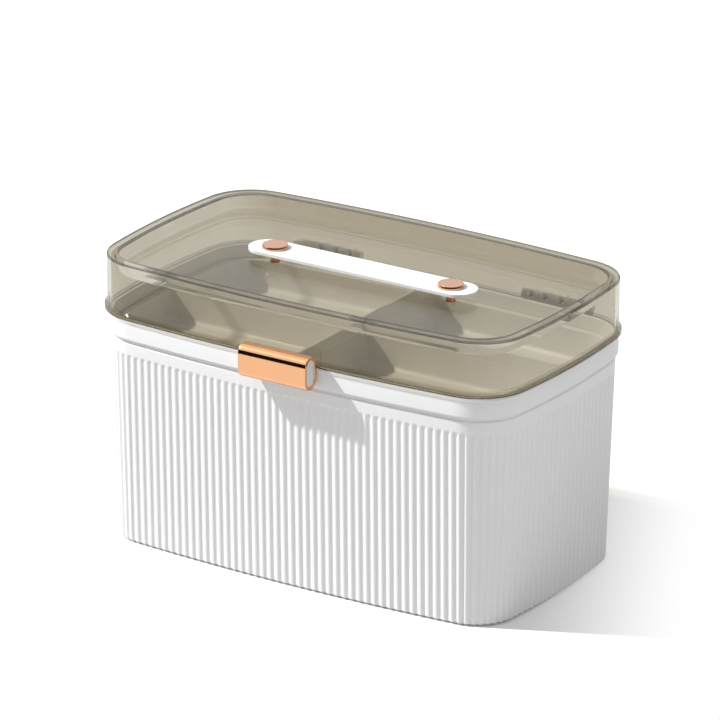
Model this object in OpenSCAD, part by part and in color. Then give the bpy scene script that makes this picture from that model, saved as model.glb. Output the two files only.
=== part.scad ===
// Storage box: fluted body, see-through hinged lid with a flat strap and a bar latch,
// and a lift-out tray with four compartments. Millimetres, +Z up, +X along the length.
// The origin is the middle of the face the box stands on; the latch faces -Y.

/* [Plan outline] */
// Length of the lid over its end walls
box_l = 270; // [245:1:295]
// Width of the lid over its front and rear walls
box_w = 157.6; // [145:0.1:175]
// Radius of the upright corners, measured on the lid wall
corner_r = 29.5; // [26:0.1:34]
// How far the middle of the front and rear walls bows out
bow_long = 4.4; // [2:0.1:6]
// How far the middle of the end walls bows out
bow_end = 2.8; // [1.5:0.1:4]

/* [Body] */
// Height of the parting line, where the lid meets the body
body_h = 133.8; // [125:0.1:150]
// Height of the plinth that the box stands on
plinth_h = 1.2; // [0.8:0.1:2]
// How far the plinth stands back from the fluted edge
plinth_back = 2; // [1.5:0.1:4]
// Slant of the plinth's own edge
plinth_edge = 0.4; // [0.2:0.1:0.8]
// Thickness of the floor, plinth included
floor_t = 2.8; // [2.4:0.1:4]
// How far the fluted edge stands in from the lid wall at the bottom
bottom_inset = 4.7; // [3.6:0.1:6]
// How far the smooth band above the flutes stands in from the lid wall
band_inset = 1.5; // [1.2:0.1:2.2]
// Least wall left behind a groove at the bottom of the body
wall_t = 2; // [1.5:0.1:3]
// Radius between the walls and the floor inside
floor_fillet = 4; // [2:0.5:8]

/* [Flutes] */
// Number of flutes round the body
flutes = 162; // [122:2:182]
// Depth of the grooves between the ribs
flute_depth = 1.1; // [0.6:0.05:1.4]
// Share of the pitch that a groove takes
groove_share = 0.4; // [0.3:0.02:0.56]
// Height of the rounded upper end of a groove
groove_end = 1.6; // [1:0.1:3]

/* [Body rim] */
// Height of the rim that the lid sits on
rim_h = 11.6; // [10.8:0.1:14]
// Thickness of the rim wall above the tray ledge
rim_t = 3.7; // [3:0.1:4.5]
// Height of the cove under the rim
cove_h = 3; // [2:0.1:4]
// Depth of the cove behind the smooth band
cove_depth = 1.1; // [0.6:0.1:1.6]
// Height of the smooth band between the cove and the flutes
band_h = 6; // [4:0.5:10]
// Height of the soft shoulder along the top of the rim
shoulder_h = 2.6; // [1.5:0.1:4]
// Depth of that shoulder
shoulder_d = 0.5; // [0.3:0.1:1]
// Bevel of the rim's edges
rim_edge = 0.5; // [0.3:0.1:0.8]
// Bevel of the smooth band's upper edge
band_edge = 0.4; // [0.2:0.1:0.6]
// Bevel of the cove's inner edges
cove_edge = 0.3; // [0.1:0.1:0.5]

/* [Tray] */
// How far the tray rim lies under the parting line
tray_drop = 8.1; // [6:0.1:10]
// Thickness of the tray rim
tray_rim_t = 1.6; // [1.2:0.1:2.4]
// Width of the ledge in the body that carries the tray rim
ledge_w = 2; // [1.6:0.1:3]
// Depth of the compartments below the tray rim
tray_depth = 17.5; // [12:0.5:30]
// Thickness of the tray walls and floor
tray_t = 1.6; // [1.2:0.1:2.4]
// Thickness of the dividers at the top
divider_t = 2; // [1.4:0.1:3]
// How far the divider tops lie under the parting line
divider_drop = 0.3; // [0.3:0.1:3]
// Radius of the compartments' inner corners
pocket_r = 5; // [3.5:0.5:8]
// Radius between a compartment's walls and floor
pocket_fillet = 3.5; // [2:0.5:5]
// How much a compartment narrows down to its floor, on each side
pocket_draft = 0.5; // [0.2:0.1:1]
// Gap round the tray rim
tray_gap = 0.5; // [0.3:0.1:1]
// Height of the rounding along the tray's lower edge
tray_foot = 2; // [1:0.1:3]
// Bevel of the tray rim
tray_edge = 0.4; // [0.2:0.1:0.6]

/* [Lid] */
// Height of the lid above the parting line
lid_h = 32.1; // [28:0.1:40]
// Thickness of the lid walls
lid_t = 2.2; // [1.8:0.1:3]
// Thickness of the top panel
panel_t = 2.2; // [1.6:0.1:3]
// Width of the flat ring round the top recess
ring_w = 6.2; // [5.6:0.1:8]
// Depth of the recess in the top
recess_d = 8; // [6:0.1:9.5]
// How far the recess walls lean in from top to bottom
recess_lean = 2.6; // [1.5:0.1:4]
// Height of the bead round the lid's lower edge
bead_h = 3.2; // [2:0.1:5]
// How far the bead stands out from the lid wall
bead_out = 1.5; // [0.8:0.1:2]
// Rounding of the lid's top edges
lid_edge_r = 0.8; // [0.4:0.1:1.2]
// Bevel round the lid's panel, in the recess
panel_edge = 0.8; // [0.4:0.1:1.2]
// Bevel of the lid's inner edges
lid_in_edge = 0.5; // [0.3:0.1:0.8]
// Bevel of the bead
bead_edge = 0.5; // [0.3:0.1:0.7]

/* [Hinges] */
// Distance of the hinge axis behind the lid wall at the middle of the rear
hinge_back = 4.2; // [4:0.1:6]
// Height of the hinge axis above the parting line
hinge_up = 1; // [0.6:0.1:1.6]
// Distance from the end walls to the outer end of each hinge
hinge_in = 36.5; // [35:0.5:43]
// Length of the long outer knuckle
knuckle_long = 18; // [14:0.5:22]
// Length of the short knuckle next to it
knuckle_a = 8.4; // [6:0.1:10]
// Length of the next short knuckle
knuckle_b = 6.8; // [5:0.1:8]
// Length of the innermost short knuckle
knuckle_c = 5.7; // [4:0.1:7]
// Gap between knuckles, where an ear of the lid runs
knuckle_gap = 2.1; // [1.8:0.1:3]
// Radius of the knuckles
knuckle_r = 3; // [2.6:0.1:3.3]
// Radius of the hinge pins
hinge_pin_r = 1.25; // [0.9:0.05:1.5]
// How far the lid opens, in degrees
lid_open = 105; // [95:1:115]
// Gap between an ear and the knuckles beside it
ear_side = 0.3; // [0.2:0.05:0.4]
// Reach of an ear's tail, which stops the open lid
tail_l = 4.8; // [4.4:0.1:5.4]
// Thickness of that tail
tail_h = 2.4; // [1.6:0.1:3]
// Height of the slope under the webs that the open lid's tails meet
web_slope = 2; // [1:0.1:3]

/* [Latch] */
// Length of the latch bar
latch_l = 43.6; // [36:0.2:50]
// Height of the latch bar
latch_h = 19.4; // [17:0.1:22]
// Depth of the latch bar
latch_d = 11.3; // [9.5:0.1:12.5]
// Wall of the bar's metal-look shell
latch_shell_t = 2; // [1.4:0.1:2.2]
// How far the latch bar reaches above the parting line
latch_up = 8.2; // [7.4:0.1:10]
// Gap between the latch bar and the lid wall
latch_back = 0.45; // [0.4:0.05:0.8]
// Distance of the latch pin in front of the lid wall
latch_pin_out = 1.7; // [1.65:0.05:2]
// Distance of the latch pin under the top of the bar
latch_pin_drop = 3; // [2.8:0.1:3.6]
// Radius of the latch pin
latch_pin_r = 0.75; // [0.6:0.05:0.8]
// Width of each lid ear that carries the latch pin
latch_ear_w = 3; // [2:0.1:4]
// Half the distance between the two ears
latch_ear_x = 13; // [10:0.5:15]
// Height of the arms that carry those ears
latch_arm_h = 2; // [1.4:0.1:2.4]
// How far the core's ends stand back from the ends of the bar
core_in = 0.4; // [0.2:0.1:1]
// How far the core's back reaches through the shell's window
core_step = 0.9; // [0.6:0.1:1.2]
// Width of the rib on the rim that the latch closes over
keeper_w = 20; // [12:1:22]
// How far that rib stands out from the rim
keeper_out = 1.8; // [1.2:0.1:2]
// Height of that rib
keeper_h = 2; // [1.5:0.1:2.6]
// Height of that rib above the middle of the rim's shoulder
keeper_up = 2; // [1:0.1:2.4]
// Slope under that rib
keeper_slope = 1; // [0.5:0.1:1.5]
// Width of the gap in the lid bead behind the latch
bead_gap_w = 48; // [44:1:60]
// Width of the thicker pad inside the lid wall behind the latch
pad_w = 45; // [34:1:60]
// Thickness that the pad adds to the wall
pad_t = 1.2; // [0.6:0.1:1.4]
// Height of the pad
pad_h = 8.6; // [6:0.1:12]
// Height of the pad's lower edge above the parting line
pad_up = 0.8; // [0.4:0.1:2]

/* [Strap and rivets] */
// Length of the strap
strap_l = 146.7; // [120:1:170]
// Width of the strap
strap_w = 21.7; // [18:0.1:26]
// Thickness of the strap
strap_t = 2; // [1.6:0.1:2.6]
// Radius of the strap's long edges
strap_edge_r = 0.5; // [0.3:0.1:0.8]
// Distance from each end of the strap to its rivet
rivet_in = 16.15; // [13:0.05:20]
// Radius of the rivet heads
head_r = 8; // [6.5:0.1:9]
// Height of the rivet heads
head_h = 1.6; // [1.2:0.1:2.4]
// Edge rounding of the rivet heads
head_edge_r = 0.5; // [0.3:0.1:0.6]
// Radius of the rivet stems
stem_r = 2.5; // [1.8:0.1:3]
// Length of the slots that let the strap's ends draw in
slot_l = 11; // [8:0.5:13]
// Radius of the bosses that hold the strap off the panel
boss_r = 5; // [4.5:0.1:7]
// Height of the bosses
boss_h = 3.8; // [3:0.1:4.5]
// Radius of the caps that hold the rivets under the panel
cap_r = 4.5; // [4:0.1:6]
// Thickness of those caps
cap_h = 1.5; // [1:0.1:2]
// Bevel of those caps
cap_edge = 0.4; // [0.2:0.1:0.6]

/* [Fits] */
// Radial gap where a pin is held fast
pin_held = 0.02; // [0.01:0.01:0.04]
// Radial gap where a part turns on a pin
pin_run = 0.08; // [0.05:0.01:0.1]
// Gap round parts that are fixed together
fit_gap = 0.1; // [0.05:0.01:0.2]
// Gap between parts that pass each other
run_gap = 0.3; // [0.3:0.05:0.5]

/* [Hidden] */
$fn = 64;

white = [0.95, 0.95, 0.94];
smoke = [0.64, 0.6, 0.5, 0.6];
rose_gold = [0.93, 0.7, 0.53];
steel = [0.72, 0.72, 0.74];
pale_grey = [0.82, 0.82, 0.83];
eps = 0.01;
// How far a cut runs past the face that it opens
over = 1;

// The plan outline is four corner arcs joined by four long arcs. Every wall, ring and bead
// is an inset of this one outline, with the same centres and a smaller radius.
core_x = box_l / 2 - corner_r;
core_y = box_w / 2 - corner_r;
long_r = (core_x * core_x + bow_long * bow_long) / (2 * bow_long);
end_r = (core_y * core_y + bow_end * bow_end) / (2 * bow_end);

// Centre of the corner arc: where the two long arcs cross, found by repeated substitution
function corner_at(n, x, y) = n == 0 ? [x, y] :
    corner_at(n - 1,
              core_x - end_r + sqrt(end_r * end_r - y * y),
              core_y - long_r + sqrt(long_r * long_r - x * x));
corner = corner_at(14, core_x - bow_end, core_y - bow_long);
long_a = atan2(corner.x, corner.y - core_y + long_r);
end_a = atan2(corner.y, corner.x - core_x + end_r);
corner_a = 90 - long_a - end_a;

// Shares of a quarter of the outline that end with the end arc and with the corner arc
quarter = end_a * (end_r + corner_r) + corner_a * corner_r + long_a * (long_r + corner_r);
share_end = end_a * (end_r + corner_r) / quarter;
share_corner = share_end + corner_a * corner_r / quarter;

// Point of the first quarter at share f, from the +X axis round to the +Y axis
function arc_pt(c, r, a) = [c.x + r * cos(a), c.y + r * sin(a)];
function quarter_pt(f, inset) =
    f < share_end ? arc_pt([core_x - end_r, 0], end_r + corner_r - inset, end_a * f / share_end) :
    f < share_corner ? arc_pt(corner, corner_r - inset,
        end_a + corner_a * (f - share_end) / (share_corner - share_end)) :
    arc_pt([0, core_y - long_r], long_r + corner_r - inset,
        90 - long_a * (1 - f) / (1 - share_corner));

// Point of the whole outline at t, counted in flutes from the +X axis
function outline_pt(t, inset) =
    let (u = 4 * t / flutes, q = floor(u) % 4, f = u - floor(u))
    let (p = quarter_pt(q % 2 == 0 ? f : 1 - f, inset))
    [q == 1 || q == 2 ? -p.x : p.x, q >= 2 ? -p.y : p.y];

// Distance from the middle to the rear or front wall at x, for one inset of the outline
function wall_y(x, inset) =
    let (r = long_r + corner_r - inset) core_y - long_r + sqrt(r * r - x * x);

// Places of a ring's points: every flute in the corners, and every fourth along the walls
half = flutes / 2;
function from_end(k) = min(k % half, half - k % half);
function in_corner(k) =
    let (f = from_end(k) / half * 2)
    f > share_end - 2 / half && f < share_corner + 2 / half;
plain_ts = [for (k = [0 : flutes - 1])
            if (in_corner(k) || from_end(k) % 4 == 0 || from_end(k) == floor(half / 2)) k];
even_ts = [for (k = [0 : flutes - 1]) k];

// One flute, from the crown of a rib over the groove: places and shares of the groove depth
groove_ts = [0, 0.5 - groove_share / 2, 0.5 - groove_share / 5,
             0.5 + groove_share / 5, 0.5 + groove_share / 2];
groove_fs = [0, 0.12, 1, 1, 0.12];
fluted_ts = [for (k = [0 : flutes - 1], g = groove_ts) k + g];
grooves = len(groove_ts);

// A ring is [height, inset, kind, groove depth]. The kinds are 0 plain, 1 even and 2 fluted.
function plain(z, inset) = [z, inset, 0, 0];
function even(z, inset) = [z, inset, 1, 0];
function fluted(z, inset, depth) = [z, inset, 2, depth];
function ring_ts(r) = r[2] == 0 ? plain_ts : r[2] == 1 ? even_ts : fluted_ts;
function ring_pts(r) =
    let (ts = ring_ts(r))
    [for (i = [0 : len(ts) - 1])
        let (p = outline_pt(ts[i], r[1] + r[3] * groove_fs[r[2] == 2 ? i % grooves : 0]))
        [p.x, p.y, r[0]]];
function per_flute(r) = r[2] == 2 ? grooves : 1;

// Faces between two rings with points at the same places
function band(a, b, n) =
    [for (i = [0 : n - 1]) let (j = (i + 1) % n) each [[a + i, b + i, b + j], [a + i, b + j, a + j]]];

// Faces between a ring with few points and one that has m points a flute; up says that the
// ring with few points comes second
function turned(f, up) = up ? f : [f[0], f[2], f[1]];
function fan(c, c_ts, f, f_n, m, up) =
    [for (i = [0 : len(c_ts) - 1])
        let (i2 = (i + 1) % len(c_ts))
        let (a = c_ts[i] * m, b = (i2 == 0 ? flutes : c_ts[i2]) * m, mid = floor((a + b) / 2))
        each [
            for (k = [a : b - 1])
                turned([f + k % f_n, k < mid ? c + i : c + i2, f + (k + 1) % f_n], up),
            turned([f + mid % f_n, c + i, c + i2], up)
        ]];
function ring_faces(a, ra, b, rb) =
    let (na = len(ring_ts(ra)), nb = len(ring_ts(rb)))
    ra[2] == rb[2] ? band(a, b, na) :
    na > nb ? fan(b, ring_ts(rb), a, na, per_flute(ra), true) :
    fan(a, ring_ts(ra), b, nb, per_flute(rb), false);

// Solid through a list of rings that starts and ends with a flat cap
module loft(rings) {
    counts = [for (r = rings) len(ring_ts(r))];
    starts = [for (i = 0, s = 0; i < len(rings); s = s + counts[i], i = i + 1) s];
    last = len(rings) - 1;
    caps = [[for (i = [0 : counts[0] - 1]) i],
            [for (i = [counts[last] - 1 : -1 : 0]) starts[last] + i]];
    sides = [for (i = [0 : last - 1])
             each ring_faces(starts[i], rings[i], starts[i + 1], rings[i + 1])];
    polyhedron(points = [for (r = rings) each ring_pts(r)], faces = concat(caps, sides));
}

// Heights of the body
rim_z = body_h - rim_h;
band_z = rim_z - cove_h;
flute_z = band_z - band_h;
ledge_z = body_h - tray_drop - tray_rim_t;
// Insets of the body's inside
ledge_inset = rim_t + ledge_w;
floor_inset = bottom_inset + flute_depth + wall_t;
function skin_inset(z) =
    bottom_inset + (band_inset - bottom_inset) * (z - plinth_h) / (band_z - plinth_h);
function inside_inset(z) =
    floor_inset + (ledge_inset - floor_inset) * (z - floor_t) / (ledge_z - floor_t);

// Places of the hinges. Knuckles are [nearest the middle, length], on the +X side.
hinge_end = box_l / 2 - hinge_in;
hinge_y = box_w / 2 + hinge_back;
hinge_z = body_h + hinge_up;
knuckle_steps = [knuckle_long, knuckle_a, knuckle_b, knuckle_c];
knuckles = [for (i = 0, x = hinge_end - knuckle_steps[0]; i < 4;
                 i = i + 1, x = x - knuckle_gap - (i < 4 ? knuckle_steps[i] : 0))
            [x, knuckle_steps[i]]];
hinge_start = knuckles[3][0];
web_y = hinge_y - tail_l * sin(lid_open - 90) - tail_h / 2 * cos(lid_open - 90) - run_gap;

// Places of the latch
lid_front = -wall_y(0, 0);
latch_r = latch_d / 2;
latch_y = lid_front - latch_back - latch_r;
latch_top = body_h + latch_up;
latch_z = latch_top - latch_h / 2;
pin_y = lid_front - latch_pin_out;
pin_z = latch_top - latch_pin_drop;
lug_r = latch_pin_out - run_gap;
ear_notch_r = sqrt(latch_pin_out * latch_pin_out + latch_arm_h * latch_arm_h / 4) + run_gap;
keeper_z = rim_z + shoulder_h + keeper_up;

// Places of the lid, strap and rivets
lid_z = body_h + lid_h;
panel_z = lid_z - recess_d;
strap_z = panel_z + boss_h;
rivet_span = strap_l - 2 * rivet_in;

// Cylinder along X, centred on x = 0, at a point of the YZ plane
module rod(y, z, r, l) {
    translate([-l / 2, y, z]) rotate([0, 90, 0]) cylinder(h = l, r = r);
}

// Bar along X with a rounded top and bottom
module bar(r, h, l) {
    translate([0, latch_y, latch_z]) {
        rod(0, h / 2 - r, r, l);
        rod(0, r - h / 2, r, l);
        translate([-l / 2, -r, r - h / 2]) cube([l, 2 * r, h - 2 * r]);
    }
}

// Profile in the YZ plane, extruded along X from x
module along_x(x, l) {
    translate([x, 0, 0]) rotate([90, 0, 90]) linear_extrude(l) children();
}

// The body

// Bracket that carries a knuckle: from the rim wall out to the hinge axis. Its outer end is at x.
module bracket_profile(x) {
    foot_z = rim_z + shoulder_h / 2;
    in_y = wall_y(x, rim_t / 2);
    top_z = body_h - 2 * run_gap;
    polygon([[in_y, foot_z], [wall_y(0, 0), foot_z], [hinge_y + knuckle_r, hinge_z - knuckle_r],
             [hinge_y + knuckle_r, hinge_z], [hinge_y - knuckle_r, hinge_z],
             [hinge_y - knuckle_r, top_z], [in_y, top_z]]);
}

// Web between two brackets, which the tail of a lid ear meets when the lid is open
module web_profile(x) {
    foot_z = rim_z + shoulder_h / 2;
    in_y = wall_y(x, rim_t / 2);
    top_z = hinge_z - knuckle_r - 2 * run_gap;
    polygon([[in_y, foot_z], [wall_y(0, 0), foot_z], [web_y, foot_z + web_slope],
             [web_y, top_z], [in_y, top_z]]);
}

module body_hinge(side) {
    for (k = knuckles) {
        x = side > 0 ? k[0] : -k[0] - k[1];
        along_x(x, k[1]) bracket_profile(k[0] + k[1]);
        translate([x, hinge_y, hinge_z]) rotate([0, 90, 0]) cylinder(h = k[1], r = knuckle_r);
    }
    for (i = [0 : 2]) {
        x = knuckles[i][0];
        along_x(side > 0 ? x - knuckle_gap : -x, knuckle_gap) web_profile(x);
    }
}

module body() {
    color(white)
    difference() {
        union() {
            loft([
                plain(0, bottom_inset + plinth_back + flute_depth + plinth_edge),
                plain(plinth_h, bottom_inset + plinth_back + flute_depth),
                fluted(plinth_h, bottom_inset, flute_depth),
                fluted(flute_z - groove_end, skin_inset(flute_z - groove_end), flute_depth),
                fluted(flute_z - groove_end * 0.3, skin_inset(flute_z), flute_depth * 0.7),
                even(flute_z, skin_inset(flute_z)),
                plain(band_z - band_edge, band_inset),
                plain(band_z, band_inset + band_edge),
                plain(band_z + cove_edge, band_inset + cove_depth),
                plain(rim_z - cove_edge, band_inset + cove_depth),
                plain(rim_z, rim_edge),
                plain(rim_z + rim_edge, 0),
                plain(body_h - shoulder_h, 0),
                plain(body_h - shoulder_h + rim_edge, shoulder_d),
                plain(body_h, shoulder_d),
                plain(body_h, rim_t),
                plain(ledge_z, rim_t),
                plain(ledge_z, ledge_inset),
                plain(floor_t + floor_fillet, inside_inset(floor_t + floor_fillet)),
                plain(floor_t + floor_fillet * 0.3, floor_inset + floor_fillet * 0.3),
                plain(floor_t, floor_inset + floor_fillet)
            ]);
            body_hinge(1);
            body_hinge(-1);
            // Rib that the latch closes over, with a sloped underside
            along_x(-keeper_w / 2, keeper_w)
                polygon([[lid_front + rim_t / 2, keeper_z - keeper_slope],
                         [lid_front, keeper_z - keeper_slope],
                         [lid_front - keeper_out, keeper_z], [lid_front - keeper_out, keeper_z + keeper_h],
                         [lid_front + rim_t / 2, keeper_z + keeper_h]]);
        }
        for (side = [-1, 1])
            translate([side * (hinge_start + hinge_end) / 2, 0, 0])
                rod(hinge_y, hinge_z, hinge_pin_r + pin_held, hinge_end - hinge_start + 2 * over);
    }
}

module hinge_pin(side) {
    color(steel)
    translate([side * (hinge_start + hinge_end) / 2, 0, 0])
        rod(hinge_y, hinge_z, hinge_pin_r, hinge_end - hinge_start);
}

// The lid

// Ear of the lid: from its rear wall out to the pin, with a tail behind. Its outer end is at x.
module ear_profile(x) {
    in_y = wall_y(x, lid_t / 2);
    low_z = body_h + run_gap;
    eye_r = knuckle_r - run_gap;
    polygon([[in_y, low_z], [hinge_y - eye_r, low_z], [hinge_y, hinge_z - eye_r],
             [hinge_y + tail_l, hinge_z - tail_h / 2], [hinge_y + tail_l, hinge_z + tail_h / 2],
             [hinge_y, hinge_z + eye_r], [in_y, hinge_z + 2 * knuckle_r]]);
}

module lid_ears(side) {
    for (i = [0 : 2]) {
        x0 = knuckles[i][0] - knuckle_gap + ear_side;
        l = knuckle_gap - 2 * ear_side;
        x = side > 0 ? x0 : -x0 - l;
        along_x(x, l) ear_profile(x0 + l);
        translate([x, hinge_y, hinge_z]) rotate([0, 90, 0])
            cylinder(h = l, r = knuckle_r - run_gap);
    }
}

module latch_ears() {
    for (side = [-1, 1]) {
        x = side > 0 ? latch_ear_x : -latch_ear_x - latch_ear_w;
        translate([x, pin_y, pin_z]) rotate([0, 90, 0])
            cylinder(h = latch_ear_w, r = latch_pin_out);
        translate([x, pin_y, pin_z - latch_arm_h / 2])
            cube([latch_ear_w, latch_pin_out + lid_t / 2, latch_arm_h]);
    }
}

module lid() {
    wall_top = lid_z - panel_t;
    lean_in = ring_w + recess_lean;
    color(smoke)
    difference() {
        union() {
            loft([
                plain(panel_z - panel_t, lean_in + panel_edge * 0.75),
                plain(panel_z - panel_t, lean_in - lid_t + lid_in_edge * 0.8),
                plain(panel_z - panel_t + lid_in_edge, lean_in - lid_t - lid_in_edge * 0.2),
                plain(wall_top - 2 * lid_in_edge, ring_w - lid_t + lid_in_edge),
                plain(wall_top, ring_w - lid_t - lid_in_edge * 0.8),
                plain(wall_top, lid_t + lid_in_edge),
                plain(wall_top - lid_in_edge, lid_t),
                plain(body_h, lid_t),
                plain(body_h, bead_edge * 0.6 - bead_out),
                plain(body_h + bead_edge * 0.8, -bead_out),
                plain(body_h + bead_h - bead_edge, -bead_out),
                plain(body_h + bead_h, bead_edge * 0.6 - bead_out),
                plain(body_h + bead_h, 0),
                plain(lid_z - lid_edge_r, 0),
                plain(lid_z - lid_edge_r * 0.3, lid_edge_r * 0.3),
                plain(lid_z, lid_edge_r),
                plain(lid_z, ring_w - lid_edge_r),
                plain(lid_z - lid_edge_r * 0.3, ring_w - lid_edge_r * 0.3),
                plain(lid_z - lid_edge_r, ring_w),
                plain(panel_z + panel_edge, lean_in - panel_edge * 0.25),
                plain(panel_z, lean_in + panel_edge * 0.75)
            ]);
            lid_ears(1);
            lid_ears(-1);
            latch_ears();
            translate([-pad_w / 2, lid_front + lid_t / 2, body_h + pad_up])
                cube([pad_w, lid_t / 2 + pad_t, pad_h]);
            for (side = [-1, 1])
                translate([side * rivet_span / 2, 0, panel_z - panel_t / 2])
                    cylinder(h = boss_h + panel_t / 2, r = boss_r);
        }
        // The bead stops short behind the latch
        translate([-bead_gap_w / 2, lid_front - 2 * bead_out, body_h - over])
            cube([bead_gap_w, 2 * bead_out, bead_h + over + eps]);
        for (side = [-1, 1]) {
            translate([side * rivet_span / 2, 0, panel_z - panel_t - over])
                cylinder(h = panel_t + boss_h + 2 * over, r = stem_r + pin_held);
            translate([side * (hinge_start + hinge_end) / 2, 0, 0])
                rod(hinge_y, hinge_z, hinge_pin_r + pin_run, hinge_end - hinge_start);
            translate([side * (latch_ear_x + latch_ear_w / 2), 0, 0])
                rod(pin_y, pin_z, latch_pin_r + pin_held, latch_ear_w + 2 * over);
        }
    }
}

module latch_pin() {
    color(steel) rod(pin_y, pin_z, latch_pin_r, 2 * (latch_ear_x + latch_ear_w));
}

// The strap and its rivets

module handle_strap() {
    end_x = (strap_l - strap_w) / 2;
    color(white)
    difference() {
        hull()
            for (x = [-end_x, end_x], h = [0, 1])
                translate([x, 0, strap_z + h * strap_edge_r])
                    cylinder(h = strap_t - 2 * h * strap_edge_r,
                             r = strap_w / 2 - (1 - h) * strap_edge_r, $fn = 48);
        for (side = [-1, 1])
            hull()
                for (x = [-1, 1])
                    translate([side * rivet_span / 2 + x * (slot_l / 2 - stem_r), 0, strap_z - over])
                        cylinder(h = strap_t + 2 * over, r = stem_r + fit_gap, $fn = 32);
    }
}

module rivet(side) {
    top_z = strap_z + strap_t;
    color(rose_gold)
    translate([side * rivet_span / 2, 0, 0])
        rotate_extrude()
            polygon([[0, panel_z - panel_t - cap_h], [stem_r, panel_z - panel_t - cap_h],
                     [stem_r, top_z], [head_r - head_edge_r * 0.4, top_z],
                     [head_r, top_z + head_edge_r * 0.4],
                     [head_r, top_z + head_h - head_edge_r], [head_r - head_edge_r, top_z + head_h],
                     [0, top_z + head_h]]);
}

module rivet_cap(side) {
    base_z = panel_z - panel_t - cap_h;
    color(rose_gold)
    translate([side * rivet_span / 2, 0, 0])
        rotate_extrude()
            polygon([[stem_r + pin_held, base_z], [cap_r - cap_edge, base_z], [cap_r, base_z + cap_edge],
                     [cap_r, panel_z - panel_t], [stem_r + pin_held, panel_z - panel_t]]);
}

// The latch

// Width of the core's back, and how far back the shell's window for it starts
core_w = 2 * latch_ear_x - 2 * run_gap;
window_y = latch_y + latch_r - latch_shell_t - core_step;

// Room for the lid's two ears as the latch swings
module ear_notches() {
    for (side = [-1, 1])
        translate([side * (latch_ear_x + latch_ear_w / 2), 0, 0])
            rod(pin_y, pin_z, ear_notch_r, latch_ear_w + 2 * run_gap);
}

module latch_shell() {
    color(rose_gold)
    difference() {
        bar(latch_r, latch_h, latch_l);
        bar(latch_r - latch_shell_t, latch_h - 2 * latch_shell_t, latch_l + 2 * over);
        // Window in the back for the core
        translate([-core_w / 2, window_y, latch_top - latch_h + latch_shell_t / 2])
            cube([core_w, latch_r, latch_h]);
        ear_notches();
    }
}

module latch_core() {
    inner_r = latch_r - latch_shell_t - fit_gap;
    color(pale_grey)
    difference() {
        union() {
            bar(inner_r, latch_h - 2 * (latch_shell_t + fit_gap), latch_l - 2 * core_in);
            intersection() {
                bar(latch_r - fit_gap, latch_h - 2 * fit_gap, core_w - 2 * fit_gap);
                translate([-core_w / 2, window_y + fit_gap,
                           latch_top - latch_h + latch_shell_t / 2 + fit_gap])
                    cube([core_w, latch_r, latch_h]);
            }
            rod(pin_y, pin_z, lug_r, core_w - 2 * fit_gap);
        }
        rod(pin_y, pin_z, latch_pin_r + pin_run, core_w + 2 * over);
        // Room for the keeper rib, open below so that the lid and the latch both clear it
        translate([-keeper_w / 2 - run_gap, lid_front - keeper_out - run_gap, keeper_z - latch_h])
            cube([keeper_w + 2 * run_gap, latch_d, latch_h + keeper_h + 2 * run_gap]);
        ear_notches();
    }
}

// The tray

// Post with a rounded foot; four of them span a compartment
module pocket_post(x, y, r, z, top) {
    translate([x, y, 0]) {
        translate([0, 0, z + pocket_fillet])
            cylinder(h = top - z - pocket_fillet, r1 = r - pocket_draft, r2 = r, $fn = 32);
        translate([0, 0, z + pocket_fillet])
            rotate_extrude($fn = 32)
                intersection() {
                    translate([r - pocket_draft - pocket_fillet, 0]) circle(pocket_fillet, $fn = 24);
                    translate([0, -pocket_fillet]) square([r, pocket_fillet]);
                }
    }
}

module pocket() {
    z = body_h - tray_drop - tray_depth;
    top = body_h + over;
    wall_in = ledge_inset + tray_gap + tray_t;
    a = divider_t / 2 + pocket_r;
    hull() {
        pocket_post(a, a, pocket_r, z, top);
        pocket_post(a, wall_y(0, wall_in) - pocket_r, pocket_r, z, top);
        pocket_post(box_l / 2 - wall_in - pocket_r, a, pocket_r, z, top);
        pocket_post(corner.x, corner.y, corner_r - wall_in, z, top);
    }
}

module tray() {
    rim_top = body_h - tray_drop;
    bottom = rim_top - tray_depth - tray_t;
    wall_out = ledge_inset + tray_gap;
    rim_out = rim_t + tray_gap;
    low = inside_inset(bottom) - ledge_inset + wall_out + pocket_draft;
    color(white)
    difference() {
        union() {
            loft([
                plain(bottom, low + tray_foot * 0.7),
                plain(bottom + tray_foot * 0.3, low + tray_foot * 0.2),
                plain(bottom + tray_foot, low),
                plain(ledge_z, wall_out),
                plain(ledge_z, rim_out),
                plain(rim_top - tray_edge, rim_out),
                plain(rim_top, rim_out + tray_edge)
            ]);
            // Dividers, which stand up to the parting line as grips
            intersection() {
                translate([0, 0, ledge_z])
                    linear_extrude(body_h - divider_drop - ledge_z)
                        polygon([for (t = plain_ts) outline_pt(t, rim_out)]);
                union() {
                    translate([-box_l / 2, -divider_t / 2, ledge_z]) cube([box_l, divider_t, body_h]);
                    translate([-divider_t / 2, -box_w / 2, ledge_z]) cube([divider_t, box_w, body_h]);
                }
            }
        }
        for (mx = [0, 1], my = [0, 1])
            mirror([mx, 0, 0]) mirror([0, my, 0]) pocket();
    }
}

body();
hinge_pin(-1);  // hinge_pin_left
hinge_pin(1);  // hinge_pin_right
lid();
latch_pin();
handle_strap();
rivet(-1);  // rivet_left
rivet(1);  // rivet_right
rivet_cap(-1);  // rivet_cap_left
rivet_cap(1);  // rivet_cap_right
latch_shell();
latch_core();
tray();
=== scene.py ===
"""Storage box with a fluted body, a see-through hinged lid, a carrying strap and a lift-out tray."""
import math

import bpy
from bpy.props import FloatProperty, FloatVectorProperty, IntProperty, PointerProperty
from mathutils import Matrix, Vector


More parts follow.
